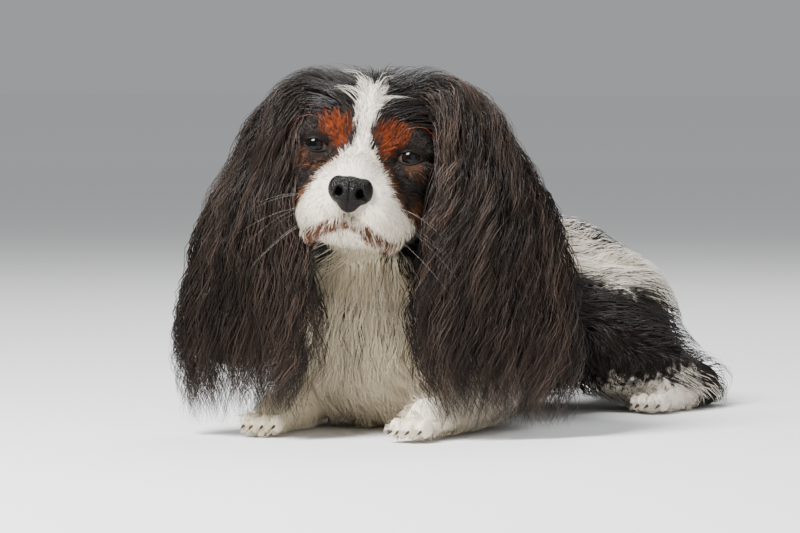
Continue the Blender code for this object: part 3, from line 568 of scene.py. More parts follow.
def add_form(form):
    """Adds the primitives that a form is made of."""
    if "radii" in form:
        return [add_sphere(form["frame"] @ Matrix.Diagonal((*form["radii"], 1)))]
    made = []
    for (start, r0), (end, r1) in zip(form["stations"], form["stations"][1:]):
        along = end - start
        turn = along.to_track_quat("Z", "Y").to_matrix().to_4x4()
        bpy.ops.mesh.primitive_cone_add(vertices=16, radius1=r0, radius2=r1, depth=along.length)
        made.append(bpy.context.object)
        made[-1].data.transform(Matrix.Translation((start + end) / 2) @ turn)
        for place, radius in ((start, r0), (end, r1)):
            joint = Matrix.Translation(place) @ Matrix.Diagonal((radius,) * 3 + (1,))
            made.append(add_sphere(joint, segments=16, rings=10))
    return made


def joined(pieces, name):
    choose(pieces)
    bpy.ops.object.join()
    made = bpy.context.object
    made.name = name
    made.data.name = name
    return made


def apply_modifier(piece, kind, **values):
    choose([piece])
    step = piece.modifiers.new("step", kind)
    for key, value in values.items():
        setattr(step, key, value)
    bpy.ops.object.modifier_apply(modifier=step.name)


def points_of(piece):
    points = np.empty(len(piece.data.vertices) * 3)
    piece.data.vertices.foreach_get("co", points)
    return points.reshape(-1, 3)


def set_points(piece, points):
    piece.data.vertices.foreach_set("co", points.ravel())
    piece.data.update()


def subdivide_where(piece, wanted):
    """Divides the faces of a piece whose middles are wanted."""
    choose([piece])
    middles = np.empty(len(piece.data.polygons) * 3)
    piece.data.polygons.foreach_get("center", middles)
    bpy.ops.object.mode_set(mode="EDIT")
    bpy.ops.mesh.select_mode(type="FACE")
    bpy.ops.mesh.select_all(action="DESELECT")
    bpy.ops.object.mode_set(mode="OBJECT")
    piece.data.polygons.foreach_set("select", wanted(middles.reshape(-1, 3)))
    bpy.ops.object.mode_set(mode="EDIT")
    bpy.ops.mesh.subdivide(number_cuts=1)
    bpy.ops.object.mode_set(mode="OBJECT")


def near(places, reach):
    """A test for points that lie within reach of one of these places."""
    def within(points):
        return np.min([np.linalg.norm(points - place, axis=1) for place in places], axis=0) < reach

    return within


# Ears
def sheet_value(level, column):
    """One measure of the ears' sheet at a level, by its column in EAR_SHEET."""
    return np.interp(level, np.arange(len(EAR_SHEET)), [station[column] for station in EAR_SHEET])


def ear_points(side, level, across, lift):
    """Points of an ear's sheet: level counts down its stations, across goes from -1 to 1."""
    steps = np.arange(len(EAR_SHEET))
    places = np.array([station[0] for station in EAR_SHEET])
    middle = np.stack([np.interp(level, steps, places[:, i]) for i in range(3)], axis=-1)
    width, thickness, turn, tilt = (sheet_value(level, column) for column in range(1, 5))
    beyond = np.maximum(level - steps[-1], 0) * (places[-1, 2] - places[-2, 2])
    middle[..., 2] += beyond
    turn, tilt = np.radians(turn), np.radians(tilt)
    chord = np.stack([np.cos(turn), np.sin(turn), np.zeros_like(turn)], axis=-1)
    out = np.stack([np.sin(turn) * np.cos(tilt), -np.cos(turn) * np.cos(tilt), np.sin(tilt)], axis=-1)
    edge = np.sqrt(np.maximum(0.0, 1 - across * across))
    raised = thickness * edge + EAR_CUP * edge * edge + lift
    local = middle + chord * (width * across)[..., None] + out * raised[..., None]
    local[..., 0] *= SIDES[side] * EAR_SPREAD[side]
    shape = local.shape
    return out_of(EAR_FRAME, local.reshape(-1, 3)).reshape(shape)


def add_ear_leather(side):
    """An ear's leather, pressed from a sphere into the ear's sheet."""
    made = add_sphere(Matrix.Identity(4), 28, 20)
    points = points_of(made)
    level = (1 - points[:, 2]) / 2 * EAR_LEATHER_END
    round_part = np.sqrt(np.maximum(1e-6, 1 - points[:, 2] ** 2))
    across = np.clip(points[:, 0] / round_part, -1, 1) * np.minimum(1, 2.2 * round_part)
    thickness = sheet_value(level, 2)
    back = np.where(points[:, 1] > 0, -2 * thickness * np.abs(points[:, 1]) / round_part, 0)
    inner = np.where(points[:, 1] <= 0, -0.0015, back + 0.0015)
    set_points(made, ear_points(side, level, across, np.where(np.abs(points[:, 1]) < 1e-6, 0, inner)))
    return made


# Skin
def almond(local, side):
    """How far out from the middle of an eye's opening a place is, with 1 on the lids' edge."""
    x, z = local[:, 0] * SIDES[side], local[:, 2]
    cos, sin = math.cos(EYE_SLANT), math.sin(EYE_SLANT)
    along, high = x * cos + z * sin, z * cos - x * sin
    narrow = 1 - 0.40 * np.minimum(1, (along / EYE_HALF_WIDTH) ** 2)
    flat = np.where(high < 0, 0.82, 0.86)
    return np.sqrt((along / EYE_HALF_WIDTH) ** 2 + (high / (EYE_HALF_HEIGHT * narrow * flat)) ** 2)


def seen_from_eye(local, side):
    """Arms from an eye's middle to places, their lengths, spread in its opening, and which are in front."""
    arm = local - np.array(EYE_PLACES[side])
    far = np.linalg.norm(arm, axis=1)
    spread = almond(arm * (EYE_RADIUS / far)[:, None], side)
    return arm, far, spread, (far < EYE_REACH) & (arm[:, 1] < 0)


def shape_lids(points):
    """Draws the skin in to the eyeballs round each opening, with a fold over the upper lid."""
    local = into(HEAD_FRAME, points)
    for side, centre in EYE_PLACES.items():
        arm, far, spread, front = seen_from_eye(local, side)
        target = np.where(
            spread < 1,
            EYE_RADIUS - SKIN_BEHIND_EYE * smooth_step(0, 0.25, 1 - spread),
            LID_EDGE + (far - LID_EDGE) * smooth_step(1.0, 1.7, spread),
        )
        fold = LID_FOLD * np.exp(-(((spread - LID_FOLD_PLACE) / 0.16) ** 2))
        fold = fold * smooth_step(0, 0.002, arm[:, 2])
        reach = np.where(front, np.minimum(far, np.maximum(target, 0)) - fold, far)
        local = np.where(front[:, None], np.array(centre) + arm * (reach / far)[:, None], local)
    return out_of(HEAD_FRAME, local)


def line_distance(points, path):
    """The distance of each point from a path."""
    nearest = np.full(len(points), np.inf)
    for start, end in zip(path[:-1], path[1:]):
        along = end - start
        share = np.clip((points - start) @ along / (along @ along), 0, 1)
        nearest = np.minimum(nearest, np.linalg.norm(points - start - share[:, None] * along, axis=1))
    return nearest


def lip_paths():
    """The line of the lips on the skin, from corner to corner, in the world."""
    half = np.array(LIP_LINE)
    whole = np.concatenate([(half * (-1, 1, 1))[:0:-1], half])
    return to_level(out_of(HEAD_FRAME, whole), flesh, -FACE_COAT_DEPTH, steps=8)


def make_skin():
    """One closed skin over head, neck, body, legs, tail and ears."""
    pieces = []
    for form in HEAD_FORMS + BODY_FORMS + PAW_FORMS:
        pieces += add_form(form)
    pieces += [add_ear_leather(side) for side in SIDES]
    skin = joined(pieces, "skin")
    apply_modifier(skin, "REMESH", mode="VOXEL", voxel_size=SKIN_VOXEL)
    apply_modifier(skin, "SMOOTH", iterations=3)
    subdivide_where(skin, near(out_of(HEAD_FRAME, np.array([FACE_MIDDLE])), FACE_REACH))
    subdivide_where(skin, near(out_of(HEAD_FRAME, np.array(list(EYE_PLACES.values()))), EYE_REACH))
    subdivide_where(skin, near(np.array([place for place, _ in PAWS.values()]), PAW_REACH))
    points = points_of(skin)
    gap = flesh(points)
    local = into(HEAD_FRAME, points)
    deep = smooth_step(0.050, 0.100, np.linalg.norm(local - (0, -0.02, -0.02), axis=1))
    level = -(FACE_COAT_DEPTH + (BODY_COAT_DEPTH - FACE_COAT_DEPTH) * deep)
    level = np.where(points[:, 2] < LEG_COAT_TOP, -FACE_COAT_DEPTH, level)
    on_body = smooth_step(0.0035, 0.0015, gap)
    settled = to_level(points, flesh, level, steps=6)
    points = points + (settled - points) * on_body[:, None]
    points = shape_lids(points)
    lips = line_distance(points, lip_paths())
    out = slope_of(flesh, points)
    points = points - out * (LIP_GROOVE * np.exp(-((lips / LIP_GROOVE_WIDTH) ** 2)))[:, None]
    keep_above_floor(points)
    set_points(skin, points)
    skin.data.shade_smooth()
    return skin


# Markings
def even_noise(points, size, seed=0):
    """A soft random value from -1 to 1 that changes over about this size."""
    draw = np.random.default_rng(seed)
    total = np.zeros(len(points))
    for _ in range(6):
        wave = draw.normal(size=3)
        wave *= 2 * math.pi / (size * np.linalg.norm(wave))
        total += np.sin(points @ wave + draw.uniform(0, 2 * math.pi))
    return total / 2.6


def patch(points, centre, radii, edge=0.25):
    """How far inside a soft-edged ball each point lies, from 0 to 1."""
    far = np.linalg.norm((points - np.array(centre)) / np.array(radii), axis=1)
    return smooth_step(1 + edge, 1 - edge, far)


def hair_shares(points):
    """The share of each kind of hair at each place, in the order of HAIR_KINDS."""
    head = into(HEAD_FRAME, points) * 1000
    ragged = 1.1 * even_noise(points, 0.007, 1) + 0.7 * even_noise(points, 0.003, 2)
    x, y, z = head.T
    heights = [row[0] for row in BLAZE]
    right, left = (np.interp(z, heights, [row[i] for row in BLAZE]) for i in (1, 2))
    inside = np.minimum(x - right, left - x) + ragged
    inside = np.minimum(inside, np.where(z < -8, MUZZLE_BACK - y + 2 * ragged, inside))
    inside = np.minimum(inside, BLAZE_END - y + 2 * ragged)
    white = smooth_step(-1.3, 1.3, inside)
    front = smooth_step(16, 8, y)
    rust = np.maximum.reduce([patch(head, *spot) for spot in BROW_SPOTS])
    rust = np.clip(rust * (1 + 0.35 * ragged), 0, 1) * (1 - white)
    beside_muzzle = 0.70 * np.exp(-((inside + 1.4) / 1.6) ** 2)
    beside_muzzle = beside_muzzle * smooth_step(0, -8, z) * smooth_step(-52, -36, z)
    spots = [strength * patch(head, centre, radii, 0.5) for strength, centre, radii in CHEEK_SPOTS]
    tan = np.maximum.reduce(spots + [beside_muzzle]) * front * (1 - rust)
    tan = np.where(y < 30, tan, 0) * (1 - 0.75 * white)
    # Along the line of the lips the hair turns to the stain colour: partly a real stain, partly painted
    # shade in the crease of the mouth; the patch under the nose is its own brownish colour
    lips = line_distance(points, lip_paths()) * 1000
    below = smooth_step(-40, -47, z + 0.28 * np.abs(x))
    stain_and_shade = 0.92 * smooth_step(8.0, 3.0, lips) * below * (1 + 0.4 * ragged)
    stain_and_shade = np.maximum(stain_and_shade, 0.35 * patch(head, (0, -38, -42), (8, 10, 5), 0.4))
    near_head = smooth_step(0.105, 0.085, np.linalg.norm(head / 1000 - (0, 0.03, -0.01), axis=1))
    body_white, body_cream = body_shares(points, ragged)
    white = near_head * white + (1 - near_head) * body_white
    cream = (1 - near_head) * body_cream
    under = near_head * smooth_step(-46, -54, z + 0.3 * y)
    under = under * smooth_step(-20, -6, y) * smooth_step(44, 36, np.abs(x))
    white, cream = white * (1 - under), np.maximum(cream, under)
    rust, tan, stain_and_shade = (np.clip(share, 0, 1) * near_head for share in (rust, tan, stain_and_shade))
    coloured = np.clip(rust + tan + stain_and_shade, 0, 1)
    white, cream = white * (1 - coloured), cream * (1 - coloured)
    # Lower down the face, part of the white turns cream
    lower_cream = 0.45 * white * near_head * smooth_step(-18, -44, z)
    white, cream = white - lower_cream, cream + lower_cream
    black = np.clip(1 - white - cream - rust - tan - stain_and_shade, 0, 1)
    shares = np.stack([black, white, cream, rust, tan, stain_and_shade], axis=1)
    return shares / shares.sum(axis=1, keepdims=True)


def body_shares(points, ragged):
    """The shares of white and of cream hair on neck, body, legs and tail."""
    x, y, z = points.T
    rough = ragged * 0.004 + 0.006 * even_noise(points, 0.05, 3)
    middle = 0.014 + 0.06 * (z - 0.10)
    half = np.interp(z, (0.02, 0.06, 0.11, 0.16), (0.060, 0.046, 0.040, 0.032))
    bib = smooth_step(-0.004, 0.006, half - np.abs(x - middle) + rough)
    bib = bib * smooth_step(-0.020, -0.036, y + rough)
    forelegs = smooth_step(0.050, 0.036, z + rough) * smooth_step(0.024, 0.004, y + rough)
    belly = smooth_step(0.026, 0.016, z + rough) * smooth_step(0.17, 0.13, y)
    feet = smooth_step(0.026, 0.018, z + rough) * smooth_step(0.235, 0.215, y) * smooth_step(0.13, 0.15, y)
    line = 0.112 - 0.22 * (y - 0.14)
    half_band = np.interp(y, (0.08, 0.12, 0.17, 0.22, 0.26), (0.000, 0.014, 0.020, 0.018, 0.004))
    # The white band and the roan back are held below full white, which greys them: the back's own roan, and
    # painted half shade on both
    band = 0.88 * smooth_step(-0.004, 0.005, half_band - np.abs(z - line) + rough)
    back = 0.45 * smooth_step(0.100, 0.125, y + rough) * smooth_step(0.250, 0.225, y + rough)
    back = back * smooth_step(0.118, 0.126, z + 0.1 * (y - 0.14) + rough)
    tip = smooth_step(0.385, 0.400, y + rough)
    cream = np.maximum(bib, 0.6 * belly)
    white = np.maximum.reduce([band, back, forelegs, feet, tip])
    return white * (1 - cream), cream


def mixed_colour(points):
    """The mean colour of the coat at each place, for the skin."""
    shares = hair_shares(points)
    middles = np.array([np.array(kind).mean(axis=0) for kind in HAIR_KINDS])
    return shares @ middles


def drawn_colours(points, draw, vary=0.28):
    """A root and a tip colour for each hair, drawn from the kinds of hair at its place."""
    shares = np.cumsum(hair_shares(points), axis=1)
    kinds = (draw.random(len(points))[:, None] > shares).sum(axis=1).clip(0, len(HAIR_KINDS) - 1)
    colours = np.array(HAIR_KINDS)[kinds]
    bright = np.exp(draw.normal(0, vary, len(points)))
    bright = np.where((kinds == 1) | (kinds == 2), np.minimum(bright ** 0.7, 1.06), bright)
    return colours * bright[:, None, None]


def paint(piece, colours, name="coat_colour"):
    """Keeps a colour on each point of a piece."""
    layer = piece.data.color_attributes.new(name, "FLOAT_COLOR", "POINT")
    values = np.ones((len(piece.data.vertices), 4), dtype=np.float32)
    values[:, :3] = colours
    layer.data.foreach_set("color", values.ravel())


# Hair
def skin_samples(skin):
    """The skin's triangles: corners, normals at the corners, middles and areas."""
    mesh = skin.data
    mesh.calc_loop_triangles()
    corners = np.empty(len(mesh.loop_triangles) * 3, dtype=np.int32)
    mesh.loop_triangles.foreach_get("vertices", corners)
    corners = corners.reshape(-1, 3)
    points = points_of(skin)
    normals = np.empty(len(mesh.vertices) * 3)
    mesh.vertex_normals.foreach_get("vector", normals)
    normals = normals.reshape(-1, 3)
    a, b, c = (points[corners[:, i]] for i in range(3))
    return {
        "points": points[corners],
        "normals": normals[corners],
        "middles": (a + b + c) / 3,
        "areas": np.linalg.norm(np.cross(b - a, c - a), axis=1) / 2,
    }


def scatter(samples, weights, count, draw):
    """Roots at random over the skin, closer where the weights are higher, and the way outward there."""
    chance = samples["areas"] * weights
    picked = draw.choice(len(chance), count, p=chance / chance.sum())
    shares = draw.random((count, 2))
    shares = np.where(shares.sum(axis=1, keepdims=True) > 1, 1 - shares, shares)
    shares = np.concatenate([1 - shares.sum(axis=1, keepdims=True), shares], axis=1)[:, :, None]
    roots = (samples["points"][picked] * shares).sum(axis=1)
    return roots, unit((samples["normals"][picked] * shares).sum(axis=1))


def grow(name, paths, half_widths, faces, colours, spots, taper=0.6, flat=0.55, belly=0.35):
    """Makes one mesh of closed tapered hairs, three-sided, each with its own patch of the map."""
    count, rings = paths.shape[:2]
    along = unit(np.gradient(paths, axis=1))
    side = unit(np.cross(along, faces[:, None, :]))
    up = np.cross(side, along)
    u = np.linspace(0, 1, rings)
    profile = (1 - belly + belly * np.sin(math.pi * np.minimum(1, u * 1.6))) * (1 - u) ** taper
    wide = half_widths[:, None] * profile[None, :-1]
    corners = []
    for turn in (90, 210, 330):
        angle = math.radians(turn)
        arm = side[:, :-1] * math.cos(angle) + up[:, :-1] * (flat * math.sin(angle))
        corners.append(paths[:, :-1] + arm * wide[:, :, None])
    body = np.stack(corners, axis=2).reshape(count, -1, 3)
    points = np.concatenate([body, paths[:, -1:]], axis=1)
    each = points.shape[1]
    quads = [(3 * k + i, 3 * k + (i + 1) % 3, 3 * k + 3 + (i + 1) % 3, 3 * k + 3 + i)
             for k in range(rings - 2) for i in range(3)]
    last = 3 * (rings - 2)
    tips = [(last + i, last + (i + 1) % 3, each - 1) for i in range(3)] + [(0, 2, 1)]
    starts = np.arange(count)[:, None, None] * each
    quad_loops = (np.array(quads).reshape(1, -1, 4) + starts).reshape(count, -1)
    tip_loops = (np.array(tips)[None] + starts).reshape(count, -1)
    loops = np.concatenate([quad_loops, tip_loops], axis=1)
    sizes = np.array([4] * len(quads) + [3] * len(tips))
    offsets = np.concatenate([[0], np.cumsum(sizes)[:-1]])
    mesh = bpy.data.meshes.new(name)
    mesh.vertices.add(count * each)
    mesh.vertices.foreach_set("co", points.astype(np.float32).ravel())
    mesh.loops.add(loops.size)
    mesh.loops.foreach_set("vertex_index", loops.astype(np.int32).ravel())
    mesh.polygons.add(count * len(sizes))
    face_starts = (np.arange(count)[:, None] * loops.shape[1] + offsets[None]).ravel()
    mesh.polygons.foreach_set("loop_start", face_starts.astype(np.int32))
    mesh.update(calc_edges=True)
    piece = placed(name, mesh)
    # Each hair runs from its root colour to its tip colour, which paints shade at the roots and, on dark
    # hair, a sheen at the tips
    shade = np.append(np.repeat(u[:-1], 3), 1.0)[None, :, None]
    tints = colours[:, 0][:, None] * (1 - shade) + colours[:, 1][:, None] * shade
    paint(piece, tints.reshape(-1, 3))
    patch_side = np.append(np.tile((-0.5, 0.0, 0.5), rings - 1), 0.0) * PATCH
    patch_high = (shade[0, :, 0] - 0.5) * PATCH
    spot = np.clip(spots, PATCH, 1 - PATCH)
    places = np.stack([spot[:, :1] + patch_side, spot[:, 1:] + patch_high], axis=-1).reshape(-1, 2)
    layer = mesh.uv_layers.new(name="OFBake")
    layer.data.foreach_set("uv", places[loops.ravel()].astype(np.float32).ravel())
    mesh.shade_smooth()
    return piece


def round_unwrap(points, centre, axis, up):
    """Places on an unwrap of a round part: the turn about its axis, and how far along it."""
    axis, up = unit(np.array(axis, dtype=float)), np.array(up, dtype=float)
    up = unit(up - axis * (up @ axis))
    arm = points - np.array(centre)
    along = arm @ axis
    turn = np.arctan2(arm @ np.cross(axis, up), arm @ up)
    low, high = along.min(), along.max()
    return np.stack([(turn / (2 * math.pi) + 0.5), (along - low) / (high - low + 1e-9)], axis=1)


def face_unwrap(points):
    """Places on an unwrap of the head, folded flat from a point at its back."""
    arm = unit(into(HEAD_FRAME, points) - (0, 0.040, -0.010))
    open_angle = np.arccos(np.clip(-arm[:, 1], -1, 1)) / math.pi
    turn = np.arctan2(arm[:, 2], arm[:, 0])
    return 0.5 + 0.48 * open_angle[:, None] * np.stack([np.cos(turn), np.sin(turn)], axis=1)


def laid(vectors, outs):
    """Directions laid flat on the skin."""
    return unit(vectors - outs * (vectors * outs).sum(axis=1, keepdims=True))


def face_lie(points):
    """The lie of the hair on the head: away from the nose, outwards over the crown, down at the cheeks."""
    local = into(HEAD_FRAME, points)
    arm = unit(local - (0, -0.046, -0.024))
    x, _, z = local.T
    crown = smooth_step(0.012, 0.040, z)
    lie = arm * np.stack([1 + 2.6 * crown, np.ones_like(x), 1 - 0.4 * crown], axis=1)
    lie[:, 0] += 0.35 * np.sign(x) * crown
    lie[:, 2] -= 0.55 * smooth_step(-0.012, -0.045, z) + 0.45 * smooth_step(0.022, 0.045, np.abs(x))
    for centre in EYE_PLACES.values():
        away = local - np.array(centre)
        far = np.linalg.norm(away, axis=1)
        lie += 3.0 * unit(away) * smooth_step(0.020, 0.011, far)[:, None]
    return turned(HEAD_FRAME, unit(lie))


def body_lie(points):
    """The lie of the hair on the body: back and down, and straight down the chest."""
    x, y, z = points.T
    chest = smooth_step(0.000, -0.060, y) * smooth_step(0.03, 0.06, z)
    aside = 0.25 * np.sign(x - 0.01) * smooth_step(0.0, 0.05, np.abs(x - 0.01))
    down = -0.35 - 0.75 * chest - 0.25 * smooth_step(0.03, 0.07, np.abs(x))
    return unit(np.stack([aside, 1 - chest * 1.1, down], axis=1))


def leg_lie(points):
    """The lie of the hair on the legs: forwards along the lower leg to the toes and down."""
    x, y, z = points.T
    hind = smooth_step(0.10, 0.14, y)
    along = -0.55 - 0.1 * hind + 1.2 * smooth_step(0.03, 0.05, z)
    return unit(np.stack([0.3 * np.sign(x), along, np.full_like(x, -0.5)], axis=1))


def short_hairs(roots, outs, lies, lengths, lifts, draw, rings=3, bend=22.0, wander=0.10):
    """Paths of short hairs that rise a little and lie back along the skin."""
    lies = laid(lies + draw.normal(0, wander, roots.shape), outs)
    u = np.linspace(0, 1, rings)[None, :, None]
    reach = lengths[:, None, None] * u
    rise = lifts[:, None, None] * (1 - (1 - u) ** 2) - 0.5 * bend * reach ** 2 - 0.0006 * (1 - u)
    return roots[:, None] + lies[:, None] * reach + outs[:, None] * rise


def combed_hairs(field, roots, lie_of, lengths, lifts, draw, rings=6, wander=0.10, droop=0.0, cling=0.35):
    """Paths of longer hairs, which follow the lie over the body and rise to a height above it."""
    noise = draw.normal(0, wander, roots.shape)
    points, path = roots.copy(), []
    for k in range(rings):
        u = k / (rings - 1)
        gap, out = field.at(points)
        level = -BODY_COAT_DEPTH - 0.0005 + (lifts + BODY_COAT_DEPTH) * min(1.0, 1.9 * u)
        points = points + out * np.where(gap > level, cling * (level - gap), level - gap)[:, None]
        keep_above_floor(points, FLOOR_CLEARANCE * 1.5)
        path.append(points.copy())
        lie = lie_of(points) + noise - np.array((0, 0, droop * u))
        free = ((1 - cling / 0.35) * smooth_step(-0.002, 0.006, gap))[:, None]
        ahead = unit(laid(lie, out) * (1 - free) + unit(lie) * free)
        points = points + ahead * (lengths / (rings - 1))[:, None]
    return np.stack(path, axis=1)


def clumped(paths, roots, draw, clumps, pull=0.7, power=1.3):
    """Draws the tips of neighbouring hairs together into locks."""
    leaders = draw.choice(len(roots), clumps, replace=False)
    owner = np.empty(len(roots), dtype=int)
    for start in range(0, len(roots), 2000):
        part = slice(start, start + 2000)
        gaps = ((roots[part, None] - roots[leaders][None]) ** 2).sum(axis=2)
        owner[part] = leaders[gaps.argmin(axis=1)]
    u = np.linspace(0, 1, paths.shape[1])[None, :, None] ** power
    strength = pull * draw.uniform(0.6, 1.0, len(roots))[:, None, None]
    shift = (paths[owner] - paths) * u * strength
    return paths + shift, owner


def waved(paths, faces, owner, draw, size, length, curl=0.5):
    """Gives each lock a wave of its own, stronger towards its tips."""
    steps = np.linalg.norm(np.diff(paths, axis=1), axis=2)
    run = np.concatenate([np.zeros((len(paths), 1)), np.cumsum(steps, axis=1)], axis=1)
    along = unit(np.gradient(paths, axis=1))
    side = unit(np.cross(along, faces[:, None, :]))
    phases = draw.uniform(0, 2 * math.pi, len(paths))[owner] + draw.normal(0, 0.35, len(paths))
    pace = (1 + 0.25 * draw.normal(size=len(paths)))[owner].clip(0.6, 1.6)
    turn = phases[:, None] + 2 * math.pi * run / length * pace[:, None]
    grown = size * smooth_step(0.0, 1.0, run / (0.55 * run[:, -1:] + 1e-9))
    wave = side * (np.sin(turn) - np.sin(phases)[:, None])[..., None]
    roll = np.cross(side, along) * (curl * (np.cos(turn) - np.cos(phases)[:, None]))[..., None]
    return paths + (wave + roll) * grown[..., None]


def on_head(points, reach=0.0):
    """Whether places are on the head rather than on neck or ears."""
    local = into(HEAD_FRAME, points)
    gap = forms_distance(points, HEAD_FORMS, HEAD_BLEND)
    return (gap < 0.002 + reach) & (local[:, 1] < 0.085)


# Coats
def face_coat(samples):
    """Short tufts over muzzle, face and cheeks, finest round the nose and eyes."""
    draw = np.random.default_rng(11)
    middles = samples["middles"]
    local = into(HEAD_FRAME, middles)
    on = on_head(middles) & (local[:, 2] > -0.075)
    from_nose = np.linalg.norm(local - (0, -0.030, -0.025), axis=1)
    weights = np.where(on, np.interp(from_nose, (0.0, 0.05, 0.10), (1.6, 1.3, 0.7)), 0)
    weights *= clear_of_eyes(middles) * np.interp(eye_distance(local), (0.014, 0.022), (2.6, 1.0))
    lips = line_distance(middles, lip_paths())
    weights *= smooth_step(0.0006, 0.0020, lips)
    roots, outs = scatter(samples, weights, FACE_TUFTS, draw)
    local = into(HEAD_FRAME, roots)
    from_nose = np.linalg.norm(local - (0, -0.040, -0.024), axis=1)
    lengths = np.interp(from_nose, (0.008, 0.03, 0.06, 0.11), (0.0028, 0.0062, 0.0085, 0.0140))
    lengths *= draw.uniform(0.75, 1.25, len(roots))
    eye_gap = eye_distance(local)
    lengths *= np.interp(eye_gap, (0.008, 0.018), (0.42, 1.0))
    lengths *= np.interp(line_distance(roots, lip_paths()), (0.001, 0.009), (0.35, 1.0))
    lifts = lengths * draw.uniform(0.14, 0.34, len(roots))
    paths = short_hairs(roots, outs, face_lie(roots), lengths, lifts, draw)
    keep_above_floor(paths)
    widths = np.interp(from_nose, (0.01, 0.05, 0.1), (0.00020, 0.00028, 0.00036))
    made = grow("coat_face", paths, widths, outs, drawn_colours(roots, draw, 0.5), face_unwrap(roots))
    return finish(made, silky("face_hair", 0.50, 0.35))


def clear_of_eyes(points):
    """Zero in the eyes' openings and on the nose, one elsewhere."""
    local = into(HEAD_FRAME, points)
    clear = np.ones(len(points))
    for side in SIDES:
        _, _, spread, front = seen_from_eye(local, side)
        clear *= np.where(front & (spread < 1.12), 0, 1)
    clear *= np.where(nose_gap(points) < 0.0008, 0, 1)
    return clear


def eye_distance(local):
    """The distance of places on the face from the nearer eye's middle, seen from the front."""
    gaps = [np.linalg.norm((local - np.array(centre))[:, [0, 2]], axis=1) for centre in EYE_PLACES.values()]
    return np.where(local[:, 1] < 0.03, np.minimum(*gaps), 1.0)


def crown_coat(samples, dome):
    """Longer silky hair that sweeps from the blaze out over the roots of the ears."""
    draw = np.random.default_rng(12)
    local = into(HEAD_FRAME, samples["middles"])
    across = np.abs(local[:, 0])
    on = on_head(samples["middles"]) & (local[:, 2] > 0.016) & (local[:, 1] > 0.002)
    weights = smooth_step(0.020, 0.036, local[:, 2] + 0.25 * across)
    weights = weights * (0.35 + smooth_step(0.0, 0.02, across))
    roots, outs = scatter(samples, np.where(on, weights, 0), CROWN_TUFTS, draw)
    local = into(HEAD_FRAME, roots)
    across = np.abs(local[:, 0])
    lengths = np.interp(across, (0.0, 0.006, 0.015, 0.035), (0.014, 0.022, 0.058, 0.070))
    colours = drawn_colours(roots, draw, 0.45)
    pale = colours[:, 1, 0] > 0.10
    lengths *= draw.uniform(0.7, 1.2, len(roots)) * np.where(pale, 0.30, 1)
    lifts = np.interp(across, (0.0, 0.008, 0.020), (0.0060, 0.0090, 0.0100))
    lifts *= draw.uniform(0.35, 1.15, len(roots))
    lifts *= np.where(pale, 0.5, 1)
    paths = combed_hairs(dome, roots, crown_lie, lengths, lifts, draw, rings=7, wander=0.05)
    paths, owner = clumped(paths, roots, draw, 240, pull=0.55)
    paths = waved(paths, outs, owner, draw, 0.0010, 0.045)
    widths = draw.uniform(0.00024, 0.00040, len(roots))
    made = grow("coat_crown", paths, widths, outs, colours, face_unwrap(roots))
    return finish(made, silky("crown_hair", 0.34, 0.35))


def crown_lie(points):
    """The lie of the crown's hair: back from the brow, outwards to the ears and down over them."""
    local = into(HEAD_FRAME, points)
    x = local[:, 0]
    across = np.abs(x)
    out = smooth_step(0.001, 0.014, across)
    down = smooth_step(0.026, 0.066, across)
    aside = np.sign(x) * (1.15 * out - 0.75 * down)
    lie = np.stack([aside, 0.60 - 0.35 * out - 0.30 * down, 0.45 - 1.9 * down], axis=1)
    return turned(HEAD_FRAME, unit(lie))


